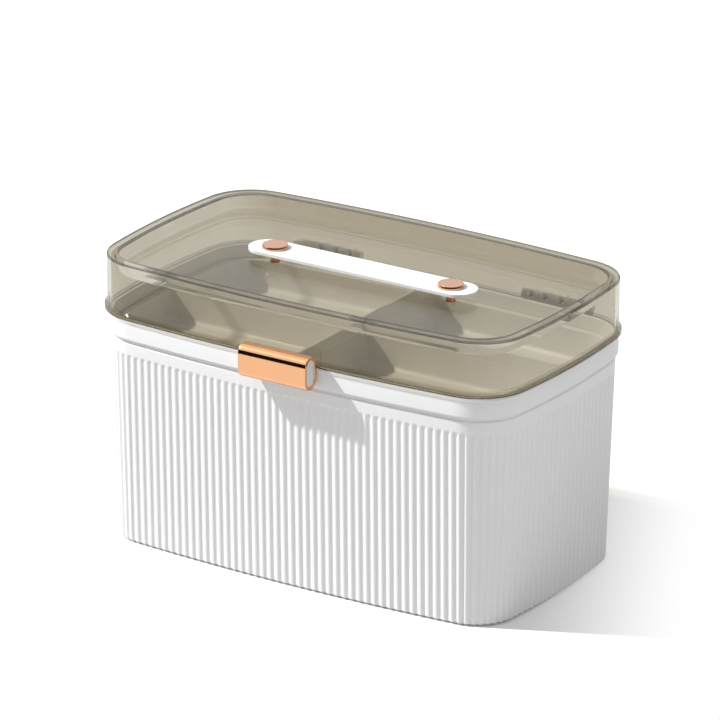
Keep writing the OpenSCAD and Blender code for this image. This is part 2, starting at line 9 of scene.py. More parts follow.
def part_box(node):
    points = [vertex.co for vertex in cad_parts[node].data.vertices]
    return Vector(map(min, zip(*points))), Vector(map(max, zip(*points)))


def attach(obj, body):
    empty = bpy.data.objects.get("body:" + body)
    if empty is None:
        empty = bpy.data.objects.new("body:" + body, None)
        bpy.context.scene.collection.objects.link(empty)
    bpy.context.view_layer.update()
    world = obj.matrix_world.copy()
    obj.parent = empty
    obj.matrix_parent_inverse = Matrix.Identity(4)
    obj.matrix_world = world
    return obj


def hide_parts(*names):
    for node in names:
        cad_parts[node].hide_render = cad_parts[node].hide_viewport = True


bl_info = {
    "name": "Storage box",
    "version": (1, 0, 0),
    "blender": (4, 5, 0),
    "location": "3D View > Sidebar > Storage box",
    "description": "Builds a fluted storage box with a see-through lid round its packed frame",
    "category": "Add Mesh",
}

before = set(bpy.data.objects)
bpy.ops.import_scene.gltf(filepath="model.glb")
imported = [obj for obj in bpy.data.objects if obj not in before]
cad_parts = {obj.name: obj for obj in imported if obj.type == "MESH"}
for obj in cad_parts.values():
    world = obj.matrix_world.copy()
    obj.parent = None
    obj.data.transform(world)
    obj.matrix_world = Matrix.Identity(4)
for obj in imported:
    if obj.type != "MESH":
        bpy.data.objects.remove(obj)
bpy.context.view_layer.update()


# Sizes and colours

def length(name, description, default):
    """A size in metres that a user can change."""
    return FloatProperty(name=name, description=description, default=default,
                         min=0.0, precision=5, unit="LENGTH")


def colour(name, description, default):
    """A colour in linear light that a user can change."""
    return FloatVectorProperty(name=name, description=description, default=default,
                               size=3, min=0.0, max=1.0, subtype="COLOR")


def share(name, description, default):
    """A share between 0 and 1 that a user can change."""
    return FloatProperty(name=name, description=description, default=default,
                         min=0.0, max=1.0, subtype="FACTOR")


def light_strength(name, description, default):
    """Strength of a light that a user can change."""
    return FloatProperty(name=name, description=description, default=default, min=0.0, max=20.0)


def angle_of(name, description, degrees):
    """An angle that a user can change."""
    return FloatProperty(name=name, description=description, default=math.radians(degrees),
                         subtype="ANGLE")


class BoxPlan(bpy.types.PropertyGroup):
    """Plan outline; every wall, ring and bead is an inset of it."""

    long: length("Length", "Length of the lid over its end walls", 0.270)
    wide: length("Width", "Width of the lid over its front and rear walls", 0.1576)
    corner: length("Corner radius", "Radius of the upright corners on the lid wall", 0.0295)
    bow_long: length("Bow of the long walls", "How far the middle of the long walls bows out", 0.0044)
    bow_end: length("Bow of the end walls", "How far the middle of the end walls bows out", 0.0028)
    parting: length("Parting line", "Height at which the lid meets the body", 0.1338)
    top: length("Top of the lid", "Height of the lid's top ring", 0.1659)


class BodyStyle(bpy.types.PropertyGroup):
    """The fluted body."""

    flutes: IntProperty(name="Flutes", description="Number of grooves round the body",
                        default=162, min=40, max=400)
    groove: length("Groove depth", "Depth of the grooves between the ribs", 0.0008)
    lip: length("Groove half width", "Half the width of a groove at its lips", 0.0021)
    bed: length("Groove bed", "Half the width of the bed of a groove", 0.0002)
    turn: share("Flute turn", "How far the first rib stands off the middle of the end wall, in flutes",
                0.09)
    plinth: length("Plinth", "Height of the plinth that the box stands on", 0.0012)
    foot_inset: length("Foot inset", "How far the fluted edge stands in from the lid wall", 0.0047)
    band_inset: length("Band inset", "How far the smooth band stands in from the lid wall", 0.0015)
    rim: length("Rim height", "Height of the rim that the lid sits on", 0.0116)
    cove: length("Cove height", "Height of the cove under the rim", 0.003)
    cove_depth: length("Cove depth", "Depth of the cove behind the smooth band", 0.0011)
    band: length("Band height", "Height of the smooth band above the flutes", 0.006)
    rim_wall: length("Rim wall", "Thickness of the rim wall above the tray ledge", 0.0037)
    ledge: length("Ledge", "Width of the ledge that carries the tray", 0.002)


class LidStyle(bpy.types.PropertyGroup):
    """The see-through lid."""

    wall: length("Wall", "Thickness of the lid walls", 0.0022)
    ring: length("Ring", "Width of the flat ring round the top recess", 0.0062)
    recess: length("Recess depth", "Depth of the recess in the top", 0.008)
    lean: length("Recess lean", "How far the recess walls lean in from top to bottom", 0.0026)
    bead: length("Bead height", "Height of the bead round the lower edge", 0.0032)
    bead_out: length("Bead width", "How far the bead stands out from the wall", 0.0015)
    edge: length("Edge radius", "Rounding of the top edges", 0.0008)


class TrayStyle(bpy.types.PropertyGroup):
    """The lift-out tray."""

    drop: length("Drop", "How far the tray rim lies under the parting line", 0.0081)
    rim: length("Rim", "Thickness of the tray rim", 0.0016)
    depth: length("Depth", "Depth of the compartments below the tray rim", 0.0175)
    wall: length("Wall", "Thickness of the tray walls and floor", 0.0016)
    divider: length("Divider", "Thickness of the dividers", 0.002)
    pocket: length("Pocket radius", "Radius of the compartments' inner corners", 0.005)
    fillet: length("Pocket fillet", "Radius between a compartment's walls and floor", 0.0035)
    draft: length("Draft", "How much a compartment narrows down to its floor", 0.0005)
    gap: length("Gap", "Gap round the tray rim", 0.0005)


class TrimStyle(bpy.types.PropertyGroup):
    """Strap, rivets and latch."""

    strap_long: length("Strap length", "Length of the strap", 0.1455)
    strap_wide: length("Strap width", "Width of the strap", 0.0217)
    strap_thick: length("Strap thickness", "Thickness of the strap", 0.002)
    rivet_span: length("Rivet span", "Distance between the rivets", 0.1144)
    head: length("Rivet head", "Radius of the rivet heads", 0.0074)
    head_high: length("Rivet head height", "Height of the rivet heads", 0.0021)
    head_flange: length("Rivet flange", "Height of the upright foot of the rivet heads", 0.0010)
    head_lean: length("Rivet head lean", "How far the side of a rivet head leans in", 0.00028)
    latch_long: length("Latch length", "Length of the latch bar", 0.0436)
    latch_high: length("Latch height", "Height of the latch bar", 0.0194)
    latch_deep: length("Latch depth", "Depth of the latch bar", 0.0113)
    latch_wall: length("Latch wall", "Wall of the latch's plated shell", 0.002)


class Finishes(bpy.types.PropertyGroup):
    """Colours of the plastics and the plating."""

    white: colour("White", "Body plastic", (0.86, 0.86, 0.865))
    tray: colour("Tray", "Tray plastic", (0.83, 0.83, 0.83))
    strap: colour("Strap", "Soft strap", (0.88, 0.88, 0.885))
    smoke: colour("Smoke", "What a lid wall lets through", (0.62, 0.585, 0.50))
    # Painted shade along the lid's rounded top edges, standing in for the dark lines that refraction
    # draws there
    edge_painted_shade: share("Edge shade", "How light the lid's rounded top edges are beside its walls", 0.16)
    # Painted shade along the lid's foot, where it sits on the body
    foot_painted_shade: share("Foot shade", "How light the lid's lowest edge is beside its walls", 0.4)
    plating: colour("Plating", "Rose gold plating of the latch", (0.89, 0.475, 0.255))
    rivet: colour("Rivet", "Copper plating of the rivets", (0.66, 0.38, 0.25))
    core: colour("Core", "Pale grey core of the latch", (0.80, 0.81, 0.84))
    steel: colour("Steel", "Hinge and latch pins", (0.78, 0.78, 0.79))


class StageStyle(bpy.types.PropertyGroup):
    """Floor, light and camera."""

    floor: share("Floor shade", "How light the floor is for the light that it sends back", 0.55)
    floor_mirrored: share("Mirrored floor", "How light the lit floor is in metal and glass", 0.75)
    fade_start: length("Shadow fade start", "How far along the light the shadow begins to fade", 0.088)
    fade_end: length("Shadow fade end", "How far along the light the shadow has faded out", 0.190)
    sky: light_strength("Sky", "Strength of the even studio light", 0.45)
    key: light_strength("Key light", "Strength of the key light in W/m2", 4.1)
    fill: light_strength("Fill light", "Strength of the soft light on the right end in W/m2", 0.45)
    key_soft: angle_of("Key softness", "Angle that the key light spans", 2.2)
    azimuth: angle_of("Azimuth", "Turn of the camera round the box", 32.581)
    elevation: angle_of("Elevation", "Height of the camera over the floor", 20.631)
    roll: angle_of("Roll", "Roll of the camera", 0.36)
    distance: length("Distance", "Distance of the camera from its target", 3.4478)
    lens: FloatProperty(name="Lens", description="Focal length on a 36 mm sensor, in millimetres",
                        default=311.685, min=10.0, max=2000.0)


GROUPS = {"box_plan": BoxPlan, "box_body": BodyStyle, "box_lid": LidStyle, "box_tray": TrayStyle,
          "box_trim": TrimStyle, "box_finish": Finishes, "box_stage": StageStyle}


# The outline and the sections that are lofted round it

# Distance of the points that keep a flat even beside a rounding
HOLD = 0.0004
# Steps in each half end wall, corner and half long wall of the smooth pieces
EVEN_STEPS = (8, 30, 14)
# Steps round a hole, a boss or a cap
ROUND_STEPS = 48
# A rounding takes less than this share of the flats beside it
NEAR_HALF = 0.49
# How far a section runs in under a panel or over a floor before it shuts to its middle point
RUN_IN = 0.012
# How far a cut reaches past what it cuts
PAST = 0.001


class Outline:
    """Columns of a closed outline: each has a centre, a direction and a radius, so that an
    inset point is centre + direction * (radius - inset)."""

    def __init__(self, plan):
        core_x = plan.long / 2 - plan.corner
        core_y = plan.wide / 2 - plan.corner
        self.corner_r = plan.corner
        self.long_r = (core_x ** 2 + plan.bow_long ** 2) / (2 * plan.bow_long)
        self.end_r = (core_y ** 2 + plan.bow_end ** 2) / (2 * plan.bow_end)
        self.long_c = core_y - self.long_r
        self.end_c = core_x - self.end_r
        # The centre of the corner lies on both long arcs, and each round brings it closer to them
        x, y = core_x - plan.bow_end, core_y - plan.bow_long
        for _ in range(20):
            x, y = (self.end_c + math.sqrt(self.end_r ** 2 - y * y),
                    self.long_c + math.sqrt(self.long_r ** 2 - x * x))
        self.corner = (x, y)
        self.long_a = math.atan2(x, y - self.long_c)
        self.end_a = math.atan2(y, x - self.end_c)
        corner_a = math.pi / 2 - self.long_a - self.end_a
        arcs = [self.end_a * (self.end_r + plan.corner), corner_a * plan.corner,
                self.long_a * (self.long_r + plan.corner)]
        self.corner_a = corner_a
        self.around = 4 * sum(arcs)
        self.share_end = arcs[0] / sum(arcs)
        self.share_corner = (arcs[0] + arcs[1]) / sum(arcs)

    def quarter(self, f):
        """Centre, direction and radius at share f of the quarter from +X to +Y."""
        if f < self.share_end:
            angle = self.end_a * f / self.share_end
            return (self.end_c, 0.0), angle, self.end_r + self.corner_r
        if f < self.share_corner:
            part = (f - self.share_end) / (self.share_corner - self.share_end)
            return self.corner, self.end_a + self.corner_a * part, self.corner_r
        angle = math.pi / 2 - self.long_a * (1 - f) / (1 - self.share_corner)
        return (0.0, self.long_c), angle, self.long_r + self.corner_r

    def column(self, f):
        """The same at share f of the whole outline, anticlockwise from +X."""
        quarter = int(f * 4) % 4
        part = f * 4 - int(f * 4)
        (x, y), angle, radius = self.quarter(part if quarter % 2 == 0 else 1 - part)
        sx = -1 if quarter in (1, 2) else 1
        sy = -1 if quarter in (2, 3) else 1
        return (x * sx, y * sy), (math.cos(angle) * sx, math.sin(angle) * sy), radius

    def even_columns(self, end, corner, long):
        """Columns with that many steps in each half end wall, corner and half long wall."""
        cuts = [self.share_end * i / end for i in range(end)]
        span = self.share_corner - self.share_end
        cuts += [self.share_end + span * i / corner for i in range(corner)]
        span = 1 - self.share_corner
        cuts += [self.share_corner + span * i / long for i in range(long + 1)]
        shares = [f / 4 for f in cuts]
        shares += [0.5 - f / 4 for f in reversed(cuts[:-1])]
        shares += [0.5 + f for f in shares[1:-1]]
        return [self.column(f) for f in shares]

    def wall_y(self, x, inset):
        """How far behind the middle the rear wall stands at x."""
        return self.long_c + math.sqrt((self.long_r + self.corner_r - inset) ** 2 - x * x)


def stadium(long, wide, steps, standing=False):
    """Columns of a bar with round ends that lies along X or stands."""
    columns = []
    for side in (1, -1):
        centre = side * (long - wide) / 2
        for i in range(steps + 1):
            angle = math.pi * (i / steps - 0.5)
            x, y = side * math.cos(angle), side * math.sin(angle)
            columns.append(((0.0, centre), (-y, x), wide / 2) if standing
                           else ((centre, 0.0), (x, y), wide / 2))
    return columns


def round_columns(steps, radius):
    """Columns of a circle round the origin."""
    turns = [2 * math.pi * i / steps for i in range(steps)]
    return [((0.0, 0.0), (math.cos(a), math.sin(a)), radius) for a in turns]


def arc(centre, radius, degrees):
    """Points of the YZ plane on a circle round a centre, at those degrees from +Y."""
    y, z = centre
    turns = [math.radians(d) for d in degrees]
    return [(y + radius * math.cos(a), z + radius * math.sin(a)) for a in turns]


def rounded(corners, steps=4):
    """Line through (inset, height, radius) corners, each rounded to its radius. A point close
    beside each rounding keeps the flats even."""
    line = []
    for i, (x, z, r) in enumerate(corners):
        if r <= 0 or i in (0, len(corners) - 1):
            line.append((x, z))
            continue
        here = Vector((x, z))
        back = Vector(corners[i - 1][:2]) - here
        ahead = Vector(corners[i + 1][:2]) - here
        half = back.angle(ahead) / 2
        reach = min(r / math.tan(half), back.length * NEAR_HALF, ahead.length * NEAR_HALF)
        radius = reach * math.tan(half)
        middle = here + (back.normalized() + ahead.normalized()).normalized() * radius / math.sin(half)
        first = here + back.normalized() * reach - middle
        turn = first.angle_signed(here + ahead.normalized() * reach - middle)
        if reach + HOLD < back.length * NEAR_HALF:
            line.append(tuple(here + back.normalized() * (reach + HOLD)))
        for k in range(steps + 1):
            a = -turn * k / steps
            line.append((middle.x + first.x * math.cos(a) - first.y * math.sin(a),
                         middle.y + first.x * math.sin(a) + first.y * math.cos(a)))
        if reach + HOLD < ahead.length * NEAR_HALF:
            line.append(tuple(here + ahead.normalized() * (reach + HOLD)))
    return line


# Meshes

def mesh_of(name, points, faces):
    """Mesh with smooth faces."""
    mesh = bpy.data.meshes.new(name)
    mesh.from_pydata(points, [], faces)
    mesh.polygons.foreach_set("use_smooth", [True] * len(mesh.polygons))
    return mesh


def object_of(name, mesh):
    """Object at the origin, linked to the scene."""
    obj = bpy.data.objects.new(name, mesh)
    bpy.context.scene.collection.objects.link(obj)
    return obj


def loft_points(columns, line, place):
    """Points of each ring of a loft; place turns (across, along, up) into a point."""
    return [place(c[0] + d[0] * (r - inset), c[1] + d[1] * (r - inset), z)
            for inset, z in line for c, d, r in columns]


def upright(x, y, z):
    """Keeps a loft upright."""
    return (x, y, z)


def band_faces(a, b, n):
    """Faces between two rings of n points that start at a and b."""
    return [(a + j, a + (j + 1) % n, b + (j + 1) % n, b + j) for j in range(n)]


def end_faces(n, last, m, middle):
    """Fans that shut a first ring of n points and a last ring of m points to two middle points."""
    low = [(middle, (j + 1) % n, j) for j in range(n)]
    return low + [(last + j, last + (j + 1) % m, middle + 1) for j in range(m)]


def loft(name, columns, line, place=upright, closed=False):
    """Closed solid: rings of the columns along a line of (inset, height). Its two ends are
    shut to a middle point, or joined to each other if closed."""
    n = len(columns)
    points = loft_points(columns, line, place)
    rings = len(line)
    faces = []
    for i in range(rings if closed else rings - 1):
        faces += band_faces(i * n, (i + 1) % rings * n, n)
    if not closed:
        low, high = line[0][1], line[-1][1]
        middle_x = sum(c[0] for c, d, r in columns) / n
        middle_y = sum(c[1] for c, d, r in columns) / n
        points += [place(middle_x, middle_y, low), place(middle_x, middle_y, high)]
        faces += end_faces(n, (rings - 1) * n, n, rings * n)
    return mesh_of(name, points, faces)


def slab(name, profile, x0, x1):
    """Solid with a profile of (y, z) points, anticlockwise seen from +X, from x0 to x1."""
    n = len(profile)
    points = [(x, y, z) for x in (x0, x1) for y, z in profile]
    faces = [tuple(range(n - 1, -1, -1)), tuple(range(n, 2 * n))]
    return mesh_of(name, points, faces + band_faces(0, n, n))


def side_rod(name, centre, radius, side, span):
    """Rod along X between two distances from the middle, on its left or right side."""
    profile = arc(centre, radius, [360 * i / ROUND_STEPS for i in range(ROUND_STEPS)])
    return slab(name, profile, *sorted(side * x for x in span))


def block(name, low, high):
    """Box between two corners, for cuts."""
    profile = [(low[1], low[2]), (high[1], low[2]), (high[1], high[2]), (low[1], high[2])]
    return slab(name, profile, low[0], high[0])


def shifted(mesh, x):
    """The same mesh, moved along X."""
    mesh.transform(Matrix.Translation((x, 0, 0)))
    return mesh


def plain_mesh(obj, name):
    """Evaluates an object's modifiers into a new mesh, and removes the object."""
    graph = bpy.context.evaluated_depsgraph_get()
    mesh = bpy.data.meshes.new_from_object(obj.evaluated_get(graph), depsgraph=graph)
    mesh.name = name
    bpy.data.objects.remove(obj)
    return mesh


def combined(name, base, joined=(), cut=()):
    """Joins meshes to a base and then cuts others from it, in order."""
    work = object_of(name + "_work", base)
    tools = []
    for operation, meshes in (("UNION", joined), ("DIFFERENCE", cut)):
        for mesh in meshes:
            tool = object_of(name + "_tool", mesh)
            modifier = work.modifiers.new(operation.title(), "BOOLEAN")
            modifier.operation = operation
            modifier.solver = "MANIFOLD"
            modifier.object = tool
            tools.append(tool)
    result = plain_mesh(work, name)
    for tool in tools:
        bpy.data.objects.remove(tool)
    if not result.polygons:
        raise RuntimeError(f"{name} came out empty")
    return result


# Geometry Nodes trees

def new_tree(name, sockets):
    """Tree with those inputs after its geometry, and its input and output nodes."""
    tree = bpy.data.node_groups.new(name, "GeometryNodeTree")
    tree.interface.new_socket("Geometry", in_out="INPUT", socket_type="NodeSocketGeometry")
    for socket, kind in sockets:
        tree.interface.new_socket(socket, in_out="INPUT", socket_type=kind)
    tree.interface.new_socket("Geometry", in_out="OUTPUT", socket_type="NodeSocketGeometry")
    return tree, tree.nodes.new("NodeGroupInput"), tree.nodes.new("NodeGroupOutput")


class Wires:
    """Adds nodes to a tree and links them as it goes."""

    def __init__(self, tree):
        self.tree = tree

    def link(self, value, socket):
        """Feeds a socket from another one, or sets it to a plain value."""
        if isinstance(value, bpy.types.NodeSocket):
            self.tree.links.new(value, socket)
        else:
            socket.default_value = value

    def math(self, operation, a, b=0.0):
        """One step of arithmetic."""
        node = self.tree.nodes.new("ShaderNodeMath")
        node.operation = operation
        self.link(a, node.inputs[0])
        self.link(b, node.inputs[1])
        return node.outputs[0]

    def plus(self, a, b):
        """The sum of a and b."""
        return self.math("ADD", a, b)

    def minus(self, a, b):
        """What is left of a without b."""
        return self.math("SUBTRACT", a, b)

    def times(self, a, b):
        """a times b."""
        return self.math("MULTIPLY", a, b)

    def larger(self, a, b):
        """The larger of a and b."""
        return self.math("MAXIMUM", a, b)

    def above(self, a, b):
        """1 where a is above b, else 0."""
        return self.math("GREATER_THAN", a, b)

    def below(self, a, b):
        """1 where a is below b, else 0."""
        return self.math("LESS_THAN", a, b)

    def vector(self, operation, a, b):
        """One step of arithmetic on vectors or colours; SCALE takes a number as b."""
        node = self.tree.nodes.new("ShaderNodeVectorMath")
        node.operation = operation
        self.link(a, node.inputs[0])
        self.link(b, node.inputs["Scale"] if operation == "SCALE" else node.inputs[1])
        return node.outputs[0]

    def split(self, vector):
        """The X, Y and Z of a vector."""
        node = self.tree.nodes.new("ShaderNodeSeparateXYZ")
        self.link(vector, node.inputs[0])
        return node.outputs

    def ramp(self, value, start, end, low, high, kind="SMOOTHSTEP"):
        """Number that goes from low to high as a value goes from start to end."""
        node = self.tree.nodes.new("ShaderNodeMapRange")
        node.interpolation_type = kind
        for socket, number in (("Value", value), ("From Min", start), ("From Max", end),
                               ("To Min", low), ("To Max", high)):
            self.link(number, node.inputs[socket])
        return node.outputs["Result"]

    def relief(self, height, strength, distance):
        """Normal that a height tips."""
        node = self.tree.nodes.new("ShaderNodeBump")
        node.inputs["Strength"].default_value = strength
        node.inputs["Distance"].default_value = distance
        self.link(height, node.inputs["Height"])
        return node.outputs["Normal"]

    def attribute(self, name, kind="FLOAT"):
        """A named attribute of the mesh."""
        node = self.tree.nodes.new("GeometryNodeInputNamedAttribute")
        node.data_type = kind
        node.inputs["Name"].default_value = name
        return node.outputs["Attribute"]

    def ending(self, geometry, material, out):
        """Makes the geometry real and gives it its material."""
        real = self.tree.nodes.new("GeometryNodeRealizeInstances")
        self.link(geometry, real.inputs["Geometry"])
        paint = self.tree.nodes.new("GeometryNodeSetMaterial")
        self.link(real.outputs["Geometry"], paint.inputs["Geometry"])
        self.link(material, paint.inputs["Material"])
        self.link(paint.outputs["Geometry"], out.inputs["Geometry"])


def flute_tree():
    """Presses the grooves into the skirt: every point falls back along its outward direction
    by a rule of its place in the flute and its height."""
    tree, given, out = new_tree("Flute grooves", [
        ("Groove depth", "NodeSocketFloat"), ("Pitch", "NodeSocketFloat"),
        ("Lip half width", "NodeSocketFloat"), ("Bed half width", "NodeSocketFloat"),
        ("Groove top", "NodeSocketFloat"), ("Material", "NodeSocketMaterial")])
    w = Wires(tree)
    place = w.math("FRACT", w.attribute("flute_place"))
    across = w.times(w.math("ABSOLUTE", w.minus(place, 0.5)), given.outputs["Pitch"])
    height = w.split(tree.nodes.new("GeometryNodeInputPosition").outputs[0])["Z"]
    end_centre = w.minus(given.outputs["Groove top"], given.outputs["Lip half width"])
    over = w.larger(w.minus(height, end_centre), 0.0)
    away = w.math("SQRT", w.plus(w.times(across, across), w.times(over, over)))
    bowl = w.ramp(away, given.outputs["Bed half width"], given.outputs["Lip half width"], 1.0, 0.0)
    back = w.times(w.times(bowl, given.outputs["Groove depth"]), w.attribute("fluted"))
    shift = w.vector("SCALE", w.attribute("outward", "FLOAT_VECTOR"), w.times(back, -1.0))
    move = tree.nodes.new("GeometryNodeSetPosition")
    w.link(given.outputs["Geometry"], move.inputs["Geometry"])
    w.link(shift, move.inputs["Offset"])
    w.ending(move.outputs["Geometry"], given.outputs["Material"], out)
    return tree


def copies_tree():
    """Puts a copy of a part at each point, stretched along X by the point's own length."""
    tree, given, out = new_tree("Copies at places", [
        ("Part", "NodeSocketObject"), ("Material", "NodeSocketMaterial")])
    w = Wires(tree)
    info = tree.nodes.new("GeometryNodeObjectInfo")
    w.link(given.outputs["Part"], info.inputs["Object"])
    put = tree.nodes.new("GeometryNodeInstanceOnPoints")
    w.link(given.outputs["Geometry"], put.inputs["Points"])
    w.link(info.outputs["Geometry"], put.inputs["Instance"])
    w.link(w.attribute("stretch", "FLOAT_VECTOR"), put.inputs["Scale"])
    w.ending(put.outputs["Instances"], given.outputs["Material"], out)
    return tree


def tree_named(name, maker):
    """The tree of that name, made the first time it is asked for."""
    return bpy.data.node_groups.get(name) or maker()


def with_tree(obj, tree, values, name):
    """Runs a Geometry Nodes tree on an object and returns its plain mesh."""
    modifier = obj.modifiers.new(tree.name, "NODES")
    modifier.node_group = tree
    ids = {item.name: item.identifier for item in tree.interface.items_tree
           if item.item_type == "SOCKET" and item.in_out == "INPUT"}
    for key, value in values.items():
        modifier[ids[key]] = value
    obj.update_tag()
    bpy.context.view_layer.update()
    return plain_mesh(obj, name)


def copies(name, part, places, material):
    """Copies of a mesh at places on the X axis, each an (x, length along X) pair, as one plain
    mesh."""
    points = bpy.data.meshes.new(name + "_places")
    points.from_pydata([(x, 0.0, 0.0) for x, n in places], [], [])
    stretch = points.attributes.new("stretch", "FLOAT_VECTOR", "POINT")
    stretch.data.foreach_set("vector", [v for x, n in places for v in (n, 1.0, 1.0)])
    part_object = object_of(name + "_part", part)
    tree = tree_named("Copies at places", copies_tree)
    result = with_tree(object_of(name + "_work", points), tree,
                       {"Part": part_object, "Material": material}, name)
    bpy.data.objects.remove(part_object)
    return result


# Materials

# Height of the painted dark line (painted shade) along the lid's foot, and the Y behind which its rear
# wall stands
FOOT_LINE = 0.0008
REAR_WALL_Y = 0.068
# Upright parts of the lid's normals: below the first a wall overhangs, above the second it is level
OVERHANG = -0.2
LEVEL = 0.9
# A ray passes two surfaces in each wall, so these counts lie after one wall and after two
ONE_WALL = 1.5
TWO_WALLS = 3.5
# How far the painted dark edge line reaches down, in edge radii: everywhere, more at the ends, and its
# upper end
EDGE_REACH = 1.35
EDGE_REACH_ENDS = 0.8
EDGE_TOP = 0.02
# Shares of the tint that the ends lose, which paints light on them, and that the bead gains, and of
# the lightness that painted shade takes from the front and right of the roof
END_PAINTED_LIGHT = 0.25
BEAD_MORE = 0.75
ROOF_PAINTED_SHADE = 0.3
# Slant of the line over the top from which the roof is painted darker, and how fast the painted shade
# sets in, per metre
ROOF_SLANT = 0.64
ROOF_TURN = 40.0
# What the lid lets through to shadows, and how much more it lets through for light that spreads
SHADOW_SHARE = 0.90
SPREAD_MORE = 0.12


def shader_group(name, inputs):
    """Shader node group with float inputs, and with the three outputs that surfaces take."""
    group = bpy.data.node_groups.new(name, "ShaderNodeTree")
    for label, value in inputs:
        socket = group.interface.new_socket(label, in_out="INPUT", socket_type="NodeSocketFloat")
        socket.default_value = value
    for label in ("Height", "Sheen change", "Shade"):
        group.interface.new_socket(label, in_out="OUTPUT", socket_type="NodeSocketFloat")
    return group, group.nodes.new("NodeGroupInput"), group.nodes.new("NodeGroupOutput")


def noise(tree, coordinates, scale, detail=2.0, rough=0.5):
    """Noise at a scale in features per metre."""
    node = tree.nodes.new("ShaderNodeTexNoise")
    w = Wires(tree)
    for socket, value in (("Vector", coordinates), ("Scale", scale), ("Detail", detail),
                          ("Roughness", rough)):
        w.link(value, node.inputs[socket])
    return node.outputs["Fac"]


def object_place(tree):
    """Object coordinates."""
    return tree.nodes.new("ShaderNodeTexCoord").outputs["Object"]


def moulded_group():
    """Moulded plastic: fine grain, slow flow marks and a faint change of tone."""
    group, given, out = shader_group("Moulded plastic", [
        ("Grain", 900.0), ("Flow", 24.0), ("Tone", 0.02)])
    w = Wires(group)
    at = object_place(group)
    grain = noise(group, at, given.outputs["Grain"], 3.0, 0.6)
    flow = noise(group, at, given.outputs["Flow"])
    w.link(grain, out.inputs["Height"])
    w.link(w.plus(w.times(grain, 0.4), w.times(flow, 0.6)), out.inputs["Sheen change"])
    w.link(w.minus(1.0, w.times(flow, given.outputs["Tone"])), out.inputs["Shade"])
    return group


def plated_group():
    """Plating: fine polishing lines along X and soft clouds in the shine."""
    group, given, out = shader_group("Polished plating", [("Lines", 3000.0), ("Clouds", 60.0)])
    w = Wires(group)
    at = object_place(group)
    stretch = group.nodes.new("ShaderNodeMapping")
    stretch.inputs["Scale"].default_value = (0.02, 1.0, 1.0)
    w.link(at, stretch.inputs["Vector"])
    lines = noise(group, stretch.outputs[0], given.outputs["Lines"])
    clouds = noise(group, at, given.outputs["Clouds"])
    w.link(lines, out.inputs["Height"])
    w.link(w.plus(w.times(lines, 0.5), w.times(clouds, 0.5)), out.inputs["Sheen change"])
    w.link(w.plus(0.97, w.times(clouds, 0.05)), out.inputs["Shade"])
    return group


def new_material(name):
    """Material with its nodes cleared, its wires and its output."""
    material = bpy.data.materials.new(name)
    material.use_nodes = True
    tree = material.node_tree
    tree.nodes.clear()
    return material, tree, Wires(tree), tree.nodes.new("ShaderNodeOutputMaterial")


SHARED_GROUPS = {"Moulded plastic": moulded_group, "Polished plating": plated_group}


def shared_effect(tree, name, values):
    """Node with a shared group and this material's values for it."""
    effect = tree.nodes.new("ShaderNodeGroup")
    effect.node_tree = tree_named(name, SHARED_GROUPS[name])
    for key, value in values.items():
        effect.inputs[key].default_value = value
    return effect


def surface(name, base, group, values, rough, bump):
    """Principled material whose colour, roughness and bump come from a shared group.
    rough is (lowest, highest) and bump is (strength, distance)."""
    material, tree, w, out = new_material(name)
    effect = shared_effect(tree, group, values)
    shader = tree.nodes.new("ShaderNodeBsdfPrincipled")
    w.link(w.vector("SCALE", base, effect.outputs["Shade"]), shader.inputs["Base Color"])
    w.link(w.ramp(effect.outputs["Sheen change"], 0.0, 1.0, *rough, kind="LINEAR"),
           shader.inputs["Roughness"])
    w.link(w.relief(effect.outputs["Height"], *bump), shader.inputs["Normal"])
    shader.inputs["Metallic"].default_value = float(group == "Polished plating")
    w.link(shader.outputs["BSDF"], out.inputs["Surface"])
    return material


def shade_towards(w, colour, amount):
    """Colour that goes from white to a colour by an amount."""
    return w.vector("ADD", (1.0, 1.0, 1.0), w.vector("SCALE", [c - 1.0 for c in colour], amount))


def own_normal(tree):
    """The flat normal on the ray's side, turned with the piece, as X, Y and Z."""
    w = Wires(tree)
    turn = tree.nodes.new("ShaderNodeVectorTransform")
    turn.vector_type = "NORMAL"
    turn.convert_from = "WORLD"
    turn.convert_to = "OBJECT"
    w.link(tree.nodes.new("ShaderNodeNewGeometry").outputs["True Normal"], turn.inputs[0])
    return w.split(turn.outputs[0])


